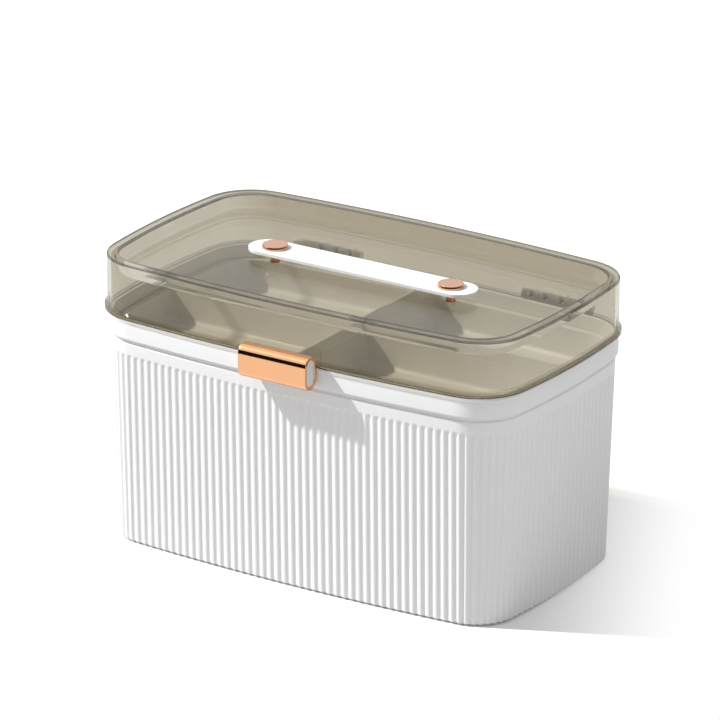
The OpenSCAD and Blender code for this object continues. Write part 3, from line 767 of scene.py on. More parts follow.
def lid_tint(tree, finish, plan, lid, passed):
    """Tint of the lid's surfaces, and a lightness that it is scaled by. The first two walls that
    a ray meets are tinted, the end walls less, which paints light on them, and the roof and the
    bead more. Walls after them are clear, other than the rear wall. So are the panel after one
    wall, and the recess walls from behind. The lightness paints shade: dark lines along the
    rounded top edges and the foot, and a darker front and right of the roof."""
    w = Wires(tree)
    place = w.split(object_place(tree))
    high = place["Z"]
    facing = own_normal(tree)
    at_end = w.math("ABSOLUTE", facing["X"])
    level = w.above(facing["Z"], LEVEL)
    # Painted shade: a dark line along the rounded top edges, reaching further down on the end walls
    edge_from = w.minus(plan.top - lid.edge * EDGE_REACH, w.times(at_end, lid.edge * EDGE_REACH_ENDS))
    on_edge = w.times(w.above(high, edge_from), w.below(high, plan.top - lid.edge * EDGE_TOP))
    # Painted shade: a dark line along the foot, where the lid sits on the body
    foot = w.below(high, plan.parting + FOOT_LINE)
    ahead = w.below(place["Y"], REAR_WALL_Y)
    beyond = w.larger(w.times(ahead, w.above(passed, TWO_WALLS)),
                      w.times(level, w.above(passed, ONE_WALL)))
    turned = w.below(facing["Z"], OVERHANG)
    tinted = w.minus(1.0, w.larger(turned, beyond))
    inner_side = tree.nodes.new("ShaderNodeNewGeometry").outputs["Backfacing"]
    roof = w.times(w.above(high, plan.top - lid.wall), w.larger(inner_side, level))
    bead = w.times(w.below(high, plan.parting + lid.bead), w.below(passed, ONE_WALL))
    # Painted shade: the roof grows darker towards its front and right, past a slanted line over the top
    across = w.minus(w.times(place["X"], ROOF_SLANT), place["Y"])
    shaded_front_right = w.larger(0.0, w.math("MINIMUM", 1.0, w.times(across, ROOF_TURN)))
    thick = w.larger(roof, w.times(bead, BEAD_MORE))
    # Painted light: the end walls are tinted less, so they look lighter than the front and rear walls
    first = w.times(tinted, w.minus(1.0, w.times(at_end, END_PAINTED_LIGHT)))
    tint = w.vector("MULTIPLY", shade_towards(w, finish.smoke, first),
                    shade_towards(w, finish.smoke, w.times(tinted, thick)))
    # The painted dark lines of the edges and the foot
    lines = w.plus(w.times(on_edge, 1.0 - finish.edge_painted_shade), w.times(foot, 1.0 - finish.foot_painted_shade))
    # All the painted shade, which the lightness takes away
    painted_shade = w.larger(lines, w.times(w.times(roof, shaded_front_right), ROOF_PAINTED_SHADE))
    return tint, w.minus(1.0, painted_shade)


def smoked_material(finish, plan, lid):
    """Clear smoky plastic with a thin coat for its gloss; shadows and spread light pass it
    straight on."""
    material, tree, w, out = new_material("smoked_plastic_clear")
    effect = shared_effect(tree, "Moulded plastic", {"Grain": 300.0})
    ray = tree.nodes.new("ShaderNodeLightPath")
    tint, lightness = lid_tint(tree, finish, plan, lid, ray.outputs["Transmission Depth"])
    clouds = w.plus(0.985, w.times(effect.outputs["Sheen change"], 0.03))
    shader = tree.nodes.new("ShaderNodeBsdfPrincipled")
    w.link(w.vector("SCALE", tint, w.times(clouds, lightness)), shader.inputs["Base Color"])
    for socket, value in (("Transmission Weight", 1.0), ("IOR", 1.02), ("Roughness", 0.01),
                          ("Coat Weight", 0.4), ("Coat IOR", 1.5), ("Coat Roughness", 0.01)):
        shader.inputs[socket].default_value = value
    w.link(w.relief(effect.outputs["Height"], 0.02, 0.00005), shader.inputs["Normal"])
    through = tree.nodes.new("ShaderNodeBsdfTransparent")
    passing = w.plus(SHADOW_SHARE, w.times(ray.outputs["Is Diffuse Ray"], SPREAD_MORE))
    w.link(w.vector("SCALE", [math.sqrt(c) for c in finish.smoke], passing), through.inputs["Color"])
    mix = tree.nodes.new("ShaderNodeMixShader")
    w.link(w.larger(ray.outputs["Is Shadow Ray"], ray.outputs["Is Diffuse Ray"]), mix.inputs["Fac"])
    w.link(shader.outputs["BSDF"], mix.inputs[1])
    w.link(through.outputs["BSDF"], mix.inputs[2])
    w.link(mix.outputs["Shader"], out.inputs["Surface"])
    return material


# Finish: its colour, its shared group and values, its roughness from and to, and its bump's
# strength and distance
SURFACES = {
    "white_plastic_satin": (
        "white", "Moulded plastic", {"Grain": 1400.0, "Flow": 18.0, "Tone": 0.03},
        (0.28, 0.42), (0.05, 0.0001)),
    "tray_plastic_satin": (
        "tray", "Moulded plastic", {"Grain": 1100.0, "Flow": 22.0, "Tone": 0.03},
        (0.36, 0.5), (0.06, 0.0001)),
    "strap_rubber_soft": (
        "strap", "Moulded plastic", {"Grain": 2600.0, "Flow": 60.0, "Tone": 0.03},
        (0.5, 0.68), (0.14, 0.00012)),
    "grey_core_plastic": (
        "core", "Moulded plastic", {"Grain": 1800.0, "Flow": 90.0, "Tone": 0.05},
        (0.4, 0.55), (0.08, 0.0001)),
    "rose_gold_plated": (
        "plating", "Polished plating", {"Lines": 2400.0, "Clouds": 70.0},
        (0.09, 0.12), (0.012, 0.00004)),
    "rivet_copper_plated": (
        "rivet", "Polished plating", {"Lines": 2400.0, "Clouds": 150.0},
        (0.14, 0.24), (0.02, 0.00004)),
    "pin_wire_steel": (
        "steel", "Polished plating", {"Lines": 6000.0, "Clouds": 200.0},
        (0.25, 0.4), (0.1, 0.00005)),
}


def material_named(name):
    """The finish of that name, made the first time it is asked for."""
    found = bpy.data.materials.get(name)
    if found:
        return found
    scene = bpy.context.scene
    if name == "smoked_plastic_clear":
        return smoked_material(scene.box_finish, scene.box_plan, scene.box_lid)
    shade, *rest = SURFACES[name]
    return surface(name, getattr(scene.box_finish, shade), *rest)


# Places that the pieces share

def lying_middle(node):
    """Middle in Y and Z, and half the height, of a frame node that lies along X."""
    low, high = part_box(node)
    return ((low.y + high.y) / 2, (low.z + high.z) / 2), (high.z - low.z) / 2


class Places:
    """Heights and places worked out from the sizes and the frame."""

    def __init__(self, scene):
        plan, body, lid, trim = scene.box_plan, scene.box_body, scene.box_lid, scene.box_trim
        self.outline = Outline(plan)
        self.parting = plan.parting
        self.top = plan.top
        self.rim_z = plan.parting - body.rim
        self.band_z = self.rim_z - body.cove
        self.flute_z = self.band_z - body.band
        self.panel_z = plan.top - lid.recess
        self.panel_under = self.panel_z - lid.wall
        self.lid_front = -self.outline.wall_y(0.0, 0.0)
        self.strap_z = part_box("handle_strap")[0].z
        self.hinge, self.pin_r = lying_middle("hinge_pin_right")
        self.hinge_span = tuple(corner.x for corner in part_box("hinge_pin_right"))
        self.latch_pin, self.latch_pin_r = lying_middle("latch_pin")
        self.latch = lying_middle("latch_shell")[0]
        self.rivet_x = trim.rivet_span / 2


# Hinge knuckles: how far from the middle each starts, and its length
KNUCKLES = ((0.0805, 0.0180), (0.0700, 0.0084), (0.0611, 0.0068), (0.0533, 0.0057))
KNUCKLE_R = 0.0020
# Inner faces of the knuckles and of the lid's ears, inside the walls that they grow from
KNUCKLE_INNER = 0.0745
EAR_INNER = 0.0743
# How far the knuckles' brackets start over the rim's foot, and how far they stay under the lid
# and the webs under its ears
KNUCKLE_FOOT = 0.0013
KNUCKLE_DROP = 0.0006
# Outer face of the webs between the knuckles, and how far it starts over their foot
WEB_OUTER = 0.0802
WEB_RISE = 0.002
# Degrees from +Y that the rounds of the knuckles, the lid's hinge ears and its latch ears take
BARREL_ARC = range(-40, 181, 10)
EAR_ARC = range(30, 91, 10)
LATCH_EAR_ARC = range(90, 271, 12)
# Gap beside the ears and under them, and what pins have to spare in a running and in a tight hole
RUN_GAP = 0.0003
RUN_FIT = 0.00008
TIGHT_FIT = 0.00002
# Edges sharper than this many degrees stay sharp
CREASE = 32.0
# Stems and caps of the rivets: radii, and how much shorter they are than the frame's
STEM_R = 0.0025
CAP_R = 0.0030
CAP_SHORT = 0.0008


def mirrored(spans):
    """The same spans along X on both sides of the middle, as (start, length)."""
    return [(x, n) for x, n in spans] + [(-x - n, n) for x, n in spans]


def gap_spans(spare):
    """Spans of the gaps between knuckles on both sides, shorter at each end by a spare length."""
    starts = [x for x, n in KNUCKLES]
    return mirrored([(x2 + n2 + spare, x - x2 - n2 - 2 * spare)
                     for x, (x2, n2) in zip(starts, KNUCKLES[1:])])


def dressed(mesh, finish, body, slot, *nodes):
    """Last step for a piece: it gets its object and finish, rides on its body and stands for
    its nodes."""
    obj = object_of(mesh.name, mesh)
    mesh.materials.clear()
    mesh.materials.append(material_named(finish))
    mesh.polygons.foreach_set("material_index", [0] * len(mesh.polygons))
    mesh.polygons.foreach_set("use_smooth", [True] * len(mesh.polygons))
    mesh.set_sharp_from_angle(angle=math.radians(CREASE))
    mesh.update()
    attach(obj, body)
    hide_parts(*nodes)


# The body

# How far the plinth stands in from the beds of the grooves, and how far its foot draws in
PLINTH_BACK = 0.002
PLINTH_DRAW = 0.0004
# Height of the cavity's floor, the wall left behind the grooves, and the radius between them
FLOOR_Z = 0.0028
WALL_T = 0.002
FLOOR_FILLET = 0.004
# How far the cove's wall starts over the band and ends under the rim
COVE_RISE = 0.0004
COVE_DROP = 0.0003
# First points of the section, which belong to the plinth and have no grooves
PLINTH_POINTS = 2
# Shares of the rounded upper end of the grooves at which the skirt has a ring of points
END_SHARES = (0.0, 0.25, 0.45, 0.6, 0.72, 0.82, 0.92, 1.0)
# Fine line round the rim: how far in, how far under the parting line, and radius
RIM_LINE = ((0.0, 0.0045, 0.0), (0.0003, 0.0025, 0.0), (0.0, 0.0023, 0.0001),
            (0.0, 0.0017, 0.0003), (0.0006, 0.0, 0.0003))
# Columns of points in each flute on the skirt, and how many of them make one column above it
PER_FLUTE = 10
SKIPPED = 5
# Rib under the latch that its core bites on: half length, depth out and in, height over the
# rim's foot, and how far it reaches below and above that height
KEEPER_HALF = 0.010
KEEPER_OUT = 0.0018
KEEPER_UP = 0.0046
KEEPER_LOW = 0.001
KEEPER_HIGH = 0.002


def body_line(scene, places):
    """Section of the body from its underside round to its floor, as the points of the fluted
    skirt and the points above it."""
    s, plan = scene.box_body, scene.box_plan
    slope = (s.band_inset - s.foot_inset) / (places.band_z - s.plinth)

    def skin(z):
        """Inset of the leaning outer face at a height."""
        return s.foot_inset + slope * (z - s.plinth)

    plinth = s.foot_inset + s.groove + PLINTH_BACK
    foot = rounded([(plinth + PLINTH_DRAW, 0.0, 0.0), (plinth, s.plinth, 0.0)])
    edge = rounded([(plinth, s.plinth, 0.0), (s.foot_inset, s.plinth, 0.0003),
                    (skin(places.flute_z), places.flute_z, 0.0)], 2)[1:-1]
    end = places.flute_z - s.lip
    ends = [(skin(end + s.lip * f), end + s.lip * f) for f in END_SHARES]
    ledge_z = plan.parting - scene.box_tray.drop - scene.box_tray.rim
    floor_in = s.foot_inset + s.groove + WALL_T
    upper = rounded([
        (skin(places.flute_z), places.flute_z, 0.0),
        (s.band_inset, places.band_z, 0.0006),
        (s.band_inset + s.cove_depth, places.band_z + COVE_RISE, 0.0003),
        (s.band_inset + s.cove_depth, places.rim_z - COVE_DROP, 0.0003),
        (0.0, places.rim_z, 0.0006),
        *[(inset, plan.parting - under, radius) for inset, under, radius in RIM_LINE],
        (s.rim_wall, plan.parting, 0.0005),
        (s.rim_wall, ledge_z, 0.0004),
        (s.rim_wall + s.ledge, ledge_z, 0.0006),
        (floor_in, FLOOR_Z, FLOOR_FILLET),
        (floor_in + RUN_IN, FLOOR_Z, 0.0)])[1:]
    return foot + edge + ends, upper


def fluted_shell(scene, places):
    """Closed shell of the body, finer on the skirt than above it, with the attributes that the
    flute tree reads."""
    flutes = scene.box_body.flutes
    shares = [k / PER_FLUTE for k in range(flutes * PER_FLUTE)]
    fine = [places.outline.column((t + scene.box_body.turn) / flutes) for t in shares]
    coarse = fine[::SKIPPED]
    lower, upper = body_line(scene, places)
    points = loft_points(fine, lower, upright)
    start = len(points)
    points += loft_points(coarse, upper, upright)
    n, m = len(fine), len(coarse)
    faces = []
    for i in range(len(lower) - 1):
        faces += band_faces(i * n, (i + 1) * n, n)
    last = (len(lower) - 1) * n
    for j in range(m):
        near = [last + (j * SKIPPED + k) % n for k in range(SKIPPED + 1)]
        faces.append(tuple(near + [start + (j + 1) % m, start + j]))
    for i in range(len(upper) - 1):
        faces += band_faces(start + i * m, start + (i + 1) * m, m)
    faces += end_faces(n, start + (len(upper) - 1) * m, m, len(points))
    points += [(0.0, 0.0, lower[0][1]), (0.0, 0.0, upper[-1][1])]
    mesh = mesh_of("body_shell", points, faces)
    rest = len(points) - start
    place = [t for _ in lower for t in shares]
    fluted = [float(i >= PLINTH_POINTS) for i in range(len(lower)) for _ in range(n)]
    outward = [v for _ in lower for c, d, r in fine for v in (d[0], d[1], 0.0)]
    for name, kind, field, values in (
            ("flute_place", "FLOAT", "value", place + [0.0] * rest),
            ("fluted", "FLOAT", "value", fluted + [0.0] * rest),
            ("outward", "FLOAT_VECTOR", "vector", outward + [0.0] * (3 * rest))):
        mesh.attributes.new(name, kind, "POINT").data.foreach_set(field, values)
    return mesh


def knuckle_part(places, with_barrel):
    """Bracket of a hinge knuckle with its barrel, or the web beside it, 1 m long so that a copy
    takes its length from its place."""
    y, z = places.hinge
    foot = places.rim_z + KNUCKLE_FOOT
    profile = [(KNUCKLE_INNER, foot), (-places.lid_front, foot)]
    if with_barrel:
        top = places.parting - KNUCKLE_DROP
        profile += arc(places.hinge, KNUCKLE_R, BARREL_ARC) + [(y - KNUCKLE_R, top)]
    else:
        top = z - KNUCKLE_R - KNUCKLE_DROP
        profile += [(WEB_OUTER, foot + WEB_RISE), (WEB_OUTER, top)]
    profile.append((KNUCKLE_INNER, top))
    return slab("knuckle_part", profile, 0.0, 1.0)


class BOX_OT_body(bpy.types.Operator):
    """Builds the fluted body with its rim, ledge, hinge knuckles and keeper rib"""

    bl_idname = "storage_box.body"
    bl_label = "Fluted body"

    def execute(self, context):
        scene = context.scene
        places = Places(scene)
        white = material_named("white_plastic_satin")
        s = scene.box_body
        shell = with_tree(object_of("body_work", fluted_shell(scene, places)),
                          tree_named("Flute grooves", flute_tree),
                          {"Groove depth": s.groove, "Pitch": places.outline.around / s.flutes,
                           "Lip half width": s.lip, "Bed half width": s.bed,
                           "Groove top": places.flute_z, "Material": white}, "body_shell")
        barrels = copies("knuckles", knuckle_part(places, True), mirrored(KNUCKLES), white)
        webs = copies("webs", knuckle_part(places, False), gap_spans(0.0), white)
        front = places.lid_front
        outer, inner = front - KEEPER_OUT, front + KEEPER_OUT
        keeper_z = places.rim_z + KEEPER_UP
        low, high = keeper_z - KEEPER_LOW, keeper_z + KEEPER_HIGH
        keeper = slab("keeper", [(outer, keeper_z), (front, low), (inner, low), (inner, high),
                                 (outer, high)], -KEEPER_HALF, KEEPER_HALF)
        near, far = places.hinge_span
        bores = [side_rod("pin_bore", places.hinge, places.pin_r + TIGHT_FIT, side,
                          (near - PAST, far + PAST)) for side in (-1, 1)]
        body = combined("body_fluted", shell, [barrels, webs, keeper], bores)
        dressed(body, "white_plastic_satin", "base", "white_plastic", "body")
        return {"FINISHED"}


# The lid

# How much thinner the recess wall is than the lid's other walls
RECESS_LESS = 0.0001
# Latch ears: start and length of each along X, how far they reach into the front wall, and half
# their height there
LATCH_EARS = ((0.013, 0.003), (-0.016, 0.003))
LATCH_EAR_IN = 0.0011
LATCH_EAR_HALF = 0.001
# Bosses under the strap: radius, how far their flats run in, and how deep in the panel they start
BOSS_R = 0.005
BOSS_FLAT = 0.002
BOSS_SUNK = 0.0011
# Pad behind the latch: half length, its two faces behind the front, and its low and high sides
PAD_HALF = 0.0225
PAD_FACES = (0.0011, 0.0028)
PAD_SIDES = (0.0008, 0.0094)
# Gap in the bead for the latch: half length, and how far it reaches out
BEAD_GAP_HALF = 0.024
BEAD_GAP_OUT = 0.003
# How far from the middle the holes for the latch pin start and end
LATCH_HOLE = (0.012, 0.017)
# Tail of the hinge ears: how far it stands out from the pin, and half its height
TAIL_OUT = 0.0048
TAIL_HALF = 0.0012


def lid_line(scene, places):
    """Section of the lid from the middle under its panel round to the middle of the recess."""
    s = scene.box_lid
    lean = s.ring + s.lean
    roof = places.top - s.wall
    base = places.parting
    return rounded([
        (lean + RUN_IN, places.panel_under, 0.0),
        (lean - s.wall + RECESS_LESS, places.panel_under, 0.0006),
        (s.ring - s.wall + RECESS_LESS, roof, 0.0009),
        (s.wall, roof, 0.0008),
        (s.wall, base, 0.0004),
        (-s.bead_out, base, 0.0005),
        (-s.bead_out, base + s.bead, 0.0007),
        (0.0, base + s.bead, 0.0004),
        (0.0, places.top, s.edge),
        (s.ring, places.top, s.edge),
        (lean, places.panel_z, 0.0010),
        (lean + RUN_IN, places.panel_z, 0.0)], 4)


def ear_profile(places):
    """Hinge ear: from the rear wall out to the pin, with the tail that stops the open lid."""
    y, z = places.hinge
    eye = KNUCKLE_R - RUN_GAP
    low = places.parting + RUN_GAP
    return ([(EAR_INNER, low), (y - eye, low), (y, z - eye), (y + TAIL_OUT, z - TAIL_HALF),
             (y + TAIL_OUT, z + TAIL_HALF)] + arc(places.hinge, eye, EAR_ARC)
            + [(EAR_INNER, z + 2 * KNUCKLE_R)])


class BOX_OT_lid(bpy.types.Operator):
    """Builds the see-through lid with its recess, bead, strap bosses and ears"""

    bl_idname = "storage_box.lid"
    bl_label = "See-through lid"

    def execute(self, context):
        scene = context.scene
        places = Places(scene)
        smoke = material_named("smoked_plastic_clear")
        columns = places.outline.even_columns(*EVEN_STEPS)
        shell = loft("lid_shell", columns, lid_line(scene, places))
        front = places.lid_front
        base = places.parting
        ears = copies("lid_ears", slab("ear", ear_profile(places), 0.0, 1.0), gap_spans(RUN_GAP),
                      smoke)
        y, z = places.latch_pin
        inner = front + LATCH_EAR_IN
        hold = slab("latch_ear", [(inner, z + LATCH_EAR_HALF)]
                    + arc(places.latch_pin, front - y, LATCH_EAR_ARC)
                    + [(inner, z - LATCH_EAR_HALF)], 0.0, 1.0)
        latch_ears = copies("latch_ears", hold, LATCH_EARS, smoke)
        sunk = places.panel_z - BOSS_SUNK
        boss = loft("boss", round_columns(ROUND_STEPS, BOSS_R), [
            (BOSS_FLAT, sunk), (0.0, sunk), (0.0, places.strap_z), (BOSS_FLAT, places.strap_z)])
        bosses = copies("bosses", boss, [(places.rivet_x, 1.0), (-places.rivet_x, 1.0)], smoke)
        pad = block("pad", (-PAD_HALF, front + PAD_FACES[0], base + PAD_SIDES[0]),
                    (PAD_HALF, front + PAD_FACES[1], base + PAD_SIDES[1]))
        gap = block("bead_gap", (-BEAD_GAP_HALF, front - BEAD_GAP_OUT, base - PAST),
                    (BEAD_GAP_HALF, front, base + scene.box_lid.bead + TIGHT_FIT))
        cuts = [gap]
        for side in (-1, 1):
            hole = loft("stem_hole", round_columns(ROUND_STEPS, STEM_R + TIGHT_FIT),
                        [(0.0, places.panel_under - PAST), (0.0, places.strap_z + PAST)])
            cuts += [side_rod("pin_hole", places.hinge, places.pin_r + RUN_FIT, side,
                              places.hinge_span),
                     side_rod("latch_hole", places.latch_pin, places.latch_pin_r + TIGHT_FIT, side,
                              LATCH_HOLE),
                     shifted(hole, side * places.rivet_x)]
        lid = combined("lid_clear", shell, [ears, latch_ears, bosses, pad], cuts)
        dressed(lid, "smoked_plastic_clear", "lid", "smoked_plastic", "lid")
        return {"FINISHED"}


# The tray

# Steps in each corner of a compartment, and in the fillet round its floor
CORNER_STEPS = 14
FILLET_STEPS = 7
# How far the tray's wall draws in down to its foot
TRAY_DRAW = 0.0009
# Width of the shell's top that the compartments are cut into
TRAY_RIM_IN = 0.006
# How far the dividers stay under the parting line, and inside the rim
DIVIDER_DROP = 0.0003
DIVIDER_IN = 0.0001


def pocket_rings(places, style):
    """Closed solid of one compartment, in the quarter between +X and +Y."""
    floor_z = places.parting - style.drop - style.depth
    body = bpy.context.scene.box_body
    wall_in = body.rim_wall + body.ledge + style.gap + style.wall
    a = style.divider / 2 + style.pocket
    cx, cy = places.outline.corner
    circles = [
        (a, a, style.pocket),
        (bpy.context.scene.box_plan.long / 2 - wall_in - style.pocket, a, style.pocket),
        (cx, cy, places.outline.corner_r - wall_in),
        (a, places.outline.wall_y(0.0, wall_in) - style.pocket, style.pocket)]
    turns = []
    for i, (x, y, r) in enumerate(circles):
        x2, y2, r2 = circles[(i + 1) % 4]
        apart = math.hypot(x2 - x, y2 - y)
        turns.append(math.atan2(y2 - y, x2 - x) - math.acos((r - r2) / apart))
    columns = []
    for i, (x, y, r) in enumerate(circles):
        start, end = turns[i - 1], turns[i]
        while end < start:
            end += 2 * math.pi
        for k in range(CORNER_STEPS + 1):
            angle = start + (end - start) * k / CORNER_STEPS
            columns.append(((x, y), (math.cos(angle), math.sin(angle)), r))
    line = [(style.draft + style.fillet, floor_z)]
    for k in range(1, FILLET_STEPS + 1):
        angle = math.pi / 2 * k / FILLET_STEPS
        line.append((style.draft + style.fillet * (1 - math.sin(angle)),
                     floor_z + style.fillet * (1 - math.cos(angle))))
    line.append((0.0, places.parting + PAST))
    return loft("pocket", columns, line)


def mirrored_mesh(mesh, sx, sy):
    """Copy of a mesh mirrored in X or Y, with its faces still outward."""
    copy = mesh.copy()
    copy.transform(Matrix.Diagonal((sx, sy, 1, 1)))
    if sx * sy < 0:
        copy.flip_normals()
    return copy


class BOX_OT_tray(bpy.types.Operator):
    """Builds the lift-out tray with its crossing dividers and four compartments"""

    bl_idname = "storage_box.tray"
    bl_label = "Tray"

    def execute(self, context):
        scene = context.scene
        places = Places(scene)
        s, body = scene.box_tray, scene.box_body
        rim_top = places.parting - s.drop
        ledge_z = rim_top - s.rim
        bottom = rim_top - s.depth - s.wall
        wall_out = body.rim_wall + body.ledge + s.gap
        rim_out = body.rim_wall + s.gap
        low = wall_out + TRAY_DRAW
        shell = loft("tray_shell", places.outline.even_columns(*EVEN_STEPS), rounded([
            (low + RUN_IN, bottom, 0), (low, bottom, 0.0015), (wall_out, ledge_z, 0.0003),
            (rim_out, ledge_z, 0.0003), (rim_out, rim_top, 0.0005),
            (rim_out + TRAY_RIM_IN, rim_top, 0)]))
        top = places.parting - DIVIDER_DROP
        half = s.divider / 2
        reach_x = scene.box_plan.long / 2 - rim_out - DIVIDER_IN
        reach_y = places.outline.wall_y(0.0, rim_out) - DIVIDER_IN
        profile = rounded([(-half, ledge_z, 0), (half, ledge_z, 0), (half, top, 0.0006),
                           (-half, top, 0.0006), (-half, ledge_z, 0)], 4)[:-1]
        long_bar = slab("long_divider", profile, -reach_x, reach_x)
        cross_bar = slab("cross_divider", profile, -reach_y, reach_y)
        cross_bar.transform(Matrix.Rotation(math.pi / 2, 4, "Z"))
        pocket = pocket_rings(places, s)
        pockets = [mirrored_mesh(pocket, sx, sy) for sx in (1, -1) for sy in (1, -1)]
        tray = combined("tray_inlay", shell, [long_bar, cross_bar], pockets)
        dressed(tray, "tray_plastic_satin", "tray", "tray_plastic", "tray")
        return {"FINISHED"}


# Strap, rivets and latch

# Steps round a rivet, and in each round end of the strap, a slot and the latch bar
RIVET_STEPS = 64
STRAP_STEPS = 40
SLOT_STEPS = 16
BAR_STEPS = 24
# Slots in the strap, and how far its flats run in
SLOT_LONG = 0.011
SLOT_WIDE = 0.0052
STRAP_IN = 0.004
# Radius of the last ring of points on each end of a rivet
RIVET_END_R = 0.001
# Plated shell: half length of the window behind the core, how far it reaches in from the wall
# and out from the bar, what stays under it, and the notches for the lid's ears
WINDOW_HALF = 0.0127
WINDOW_IN = 0.0009
WINDOW_OUT = 0.003
WINDOW_LOW = 0.001
NOTCH_SPAN = (0.0127, 0.0163)
NOTCH_R = 0.00227
# Where the section of the shell starts on its end, and where it comes back to on the same end
END_STARTS = (0.001, 0.0012)


class BOX_OT_strap(bpy.types.Operator):
    """Builds the flat carrying strap with its two slots"""

    bl_idname = "storage_box.strap"
    bl_label = "Carrying strap"

    def execute(self, context):
        scene = context.scene
        places = Places(scene)
        s = scene.box_trim
        low, high = places.strap_z, places.strap_z + s.strap_thick
        shell = loft("strap_shell", stadium(s.strap_long, s.strap_wide, STRAP_STEPS), rounded([
            (STRAP_IN, low, 0), (0.0, low, 0.00015), (0.0, high, 0.00015), (STRAP_IN, high, 0)], 4))
        slots = [shifted(loft("slot", stadium(SLOT_LONG, SLOT_WIDE, SLOT_STEPS),
                              [(0.0, low - PAST), (0.0, high + PAST)]), side * places.rivet_x)
                 for side in (-1, 1)]
        strap = combined("strap_flat", shell, cut=slots)
        dressed(strap, "strap_rubber_soft", "lid", "strap_rubber", "handle_strap")
        return {"FINISHED"}


class BOX_OT_rivets(bpy.types.Operator):
    """Builds the two rivets of the strap and the caps that hold them under the panel"""

    bl_idname = "storage_box.rivets"
    bl_label = "Rivets and caps"

    def execute(self, context):
        scene = context.scene
        places = Places(scene)
        s = scene.box_trim
        copper = material_named("rivet_copper_plated")
        both = [(-places.rivet_x, 1.0), (places.rivet_x, 1.0)]
        stem = s.head - STEM_R
        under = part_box("rivet_left")[0].z + CAP_SHORT
        head_low = places.strap_z + s.strap_thick
        head_top = head_low + s.head_high
        flange = head_low + s.head_flange
        flat = s.head - RIVET_END_R
        line = rounded([(flat, under, 0), (stem, under, 0.0003), (stem, head_low, 0),
                        (0.0, head_low, 0.0001), (0.0, flange, 0.0001), (s.head_lean, head_top, 0.0002),
                        (flat, head_top, 0)], 5)
        rivet = loft("rivet", round_columns(RIVET_STEPS, s.head), line)
        rivets = copies("rivet_pair", rivet, both, copper)
        dressed(rivets, "rivet_copper_plated", "lid", "rivet_metal", "rivet_left", "rivet_right")
        low, high = (corner.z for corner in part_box("rivet_cap_left"))
        low += CAP_SHORT
        middle = (low + high) / 2
        hole = CAP_R - STEM_R - TIGHT_FIT
        ring = rounded([(hole, middle, 0), (hole, low, 0.0001), (0.0, low, 0.0002),
                        (0.0, high, 0.0001), (hole, high, 0.0001), (hole, middle + 0.0001, 0)], 3)
        cap = loft("rivet_cap", round_columns(ROUND_STEPS, CAP_R), ring, closed=True)
        caps = copies("rivet_caps", cap, both, copper)
        dressed(caps, "rivet_copper_plated", "lid", "rivet_metal", "rivet_cap_left", "rivet_cap_right")
        return {"FINISHED"}


class BOX_OT_latch(bpy.types.Operator):
    """Builds the plated shell of the latch with its window and notches"""

    bl_idname = "storage_box.latch"
    bl_label = "Bar latch"

    def execute(self, context):
        scene = context.scene
        places = Places(scene)
        s = scene.box_trim
        ly, lz = places.latch
        radius = s.latch_deep / 2
        half = s.latch_long / 2

        def along(y, z, x):
            """Lays a loft along X, at the latch."""
            return (x, ly + y, lz + z)

        first, last = END_STARTS
        ring = rounded([(first, -half, 0), (0.0, -half, 0.00035), (0.0, half, 0.00035),
                        (s.latch_wall, half, 0.00025), (s.latch_wall, -half, 0.00025),
                        (last, -half, 0)], 4)
        columns = stadium(s.latch_high, s.latch_deep, BAR_STEPS, standing=True)
        shell = loft("latch_bar", columns, ring, place=along, closed=True)
        window = block("window", (-WINDOW_HALF, ly + radius - s.latch_wall - WINDOW_IN,
                                  lz - s.latch_high / 2 + WINDOW_LOW),
                       (WINDOW_HALF, ly + radius + WINDOW_OUT, lz + s.latch_high))
        notches = [side_rod("notch", places.latch_pin, NOTCH_R, side, NOTCH_SPAN)
                   for side in (-1, 1)]
        latch = combined("latch_bar_plated", shell, cut=[window] + notches)
        dressed(latch, "rose_gold_plated", "latch", "rose_gold_plastic", "latch_shell")
        return {"FINISHED"}


class BOX_OT_fittings(bpy.types.Operator):
    """Gives the pins and the latch core of the frame their finishes"""

    bl_idname = "storage_box.fittings"
    bl_label = "Pins and latch core"

    def execute(self, context):
        finishes = {"hinge_pin_left": "pin_wire_steel", "hinge_pin_right": "pin_wire_steel",
                    "latch_pin": "pin_wire_steel", "latch_core": "grey_core_plastic"}
        for node, finish in finishes.items():
            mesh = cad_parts[node].data
            mesh.materials.clear()
            mesh.materials.append(material_named(finish))
        return {"FINISHED"}


# Stage

def seen_directly(tree):
    """1 for rays from the camera, a mirror or glass, and 0 for light that spreads."""
    w = Wires(tree)
    ray = tree.nodes.new("ShaderNodeLightPath")
    return w.larger(w.larger(ray.outputs["Is Camera Ray"], ray.outputs["Is Glossy Ray"]),
                    ray.outputs["Is Transmission Ray"])


def blended(tree, factor, a, b):
    """Number that goes from a to b by a factor."""
    w = Wires(tree)
    return w.plus(a, w.times(factor, b - a))


# Directions of the key light and the fill light, and the angle in radians that the latter spans
LIGHT = Vector((0.93, 0.46, -1.0))
FILL = Vector((-1.0, -0.25, -0.3))
FILL_SOFT = 1.5
# Half the floor's width, and how far it lies under the plinth
FLOOR_HALF = 9.0
FLOOR_DROP = 0.00005
# Curved dark card that only mirrors see: radius, height and the degrees that it spans
CARD_R = 0.75
CARD_HIGH = 0.44
CARD_SPAN = range(-150, 62, 4)
# What the camera looks at: a point over the middle, and the picture's shift from it
AIM = Vector((0.0, 0.0, 0.0762))
AIM_RIGHT = -0.000911
AIM_UP = 0.030761


def sun(scene, name, direction, energy, soft):
    """Distant lamp that shines along a direction."""
    lamp = bpy.data.lights.new(name, "SUN")
    lamp.energy = energy
    lamp.angle = soft
    holder = bpy.data.objects.new(name, lamp)
    holder.rotation_euler = direction.to_track_quat("-Z", "Y").to_euler()
    scene.collection.objects.link(holder)


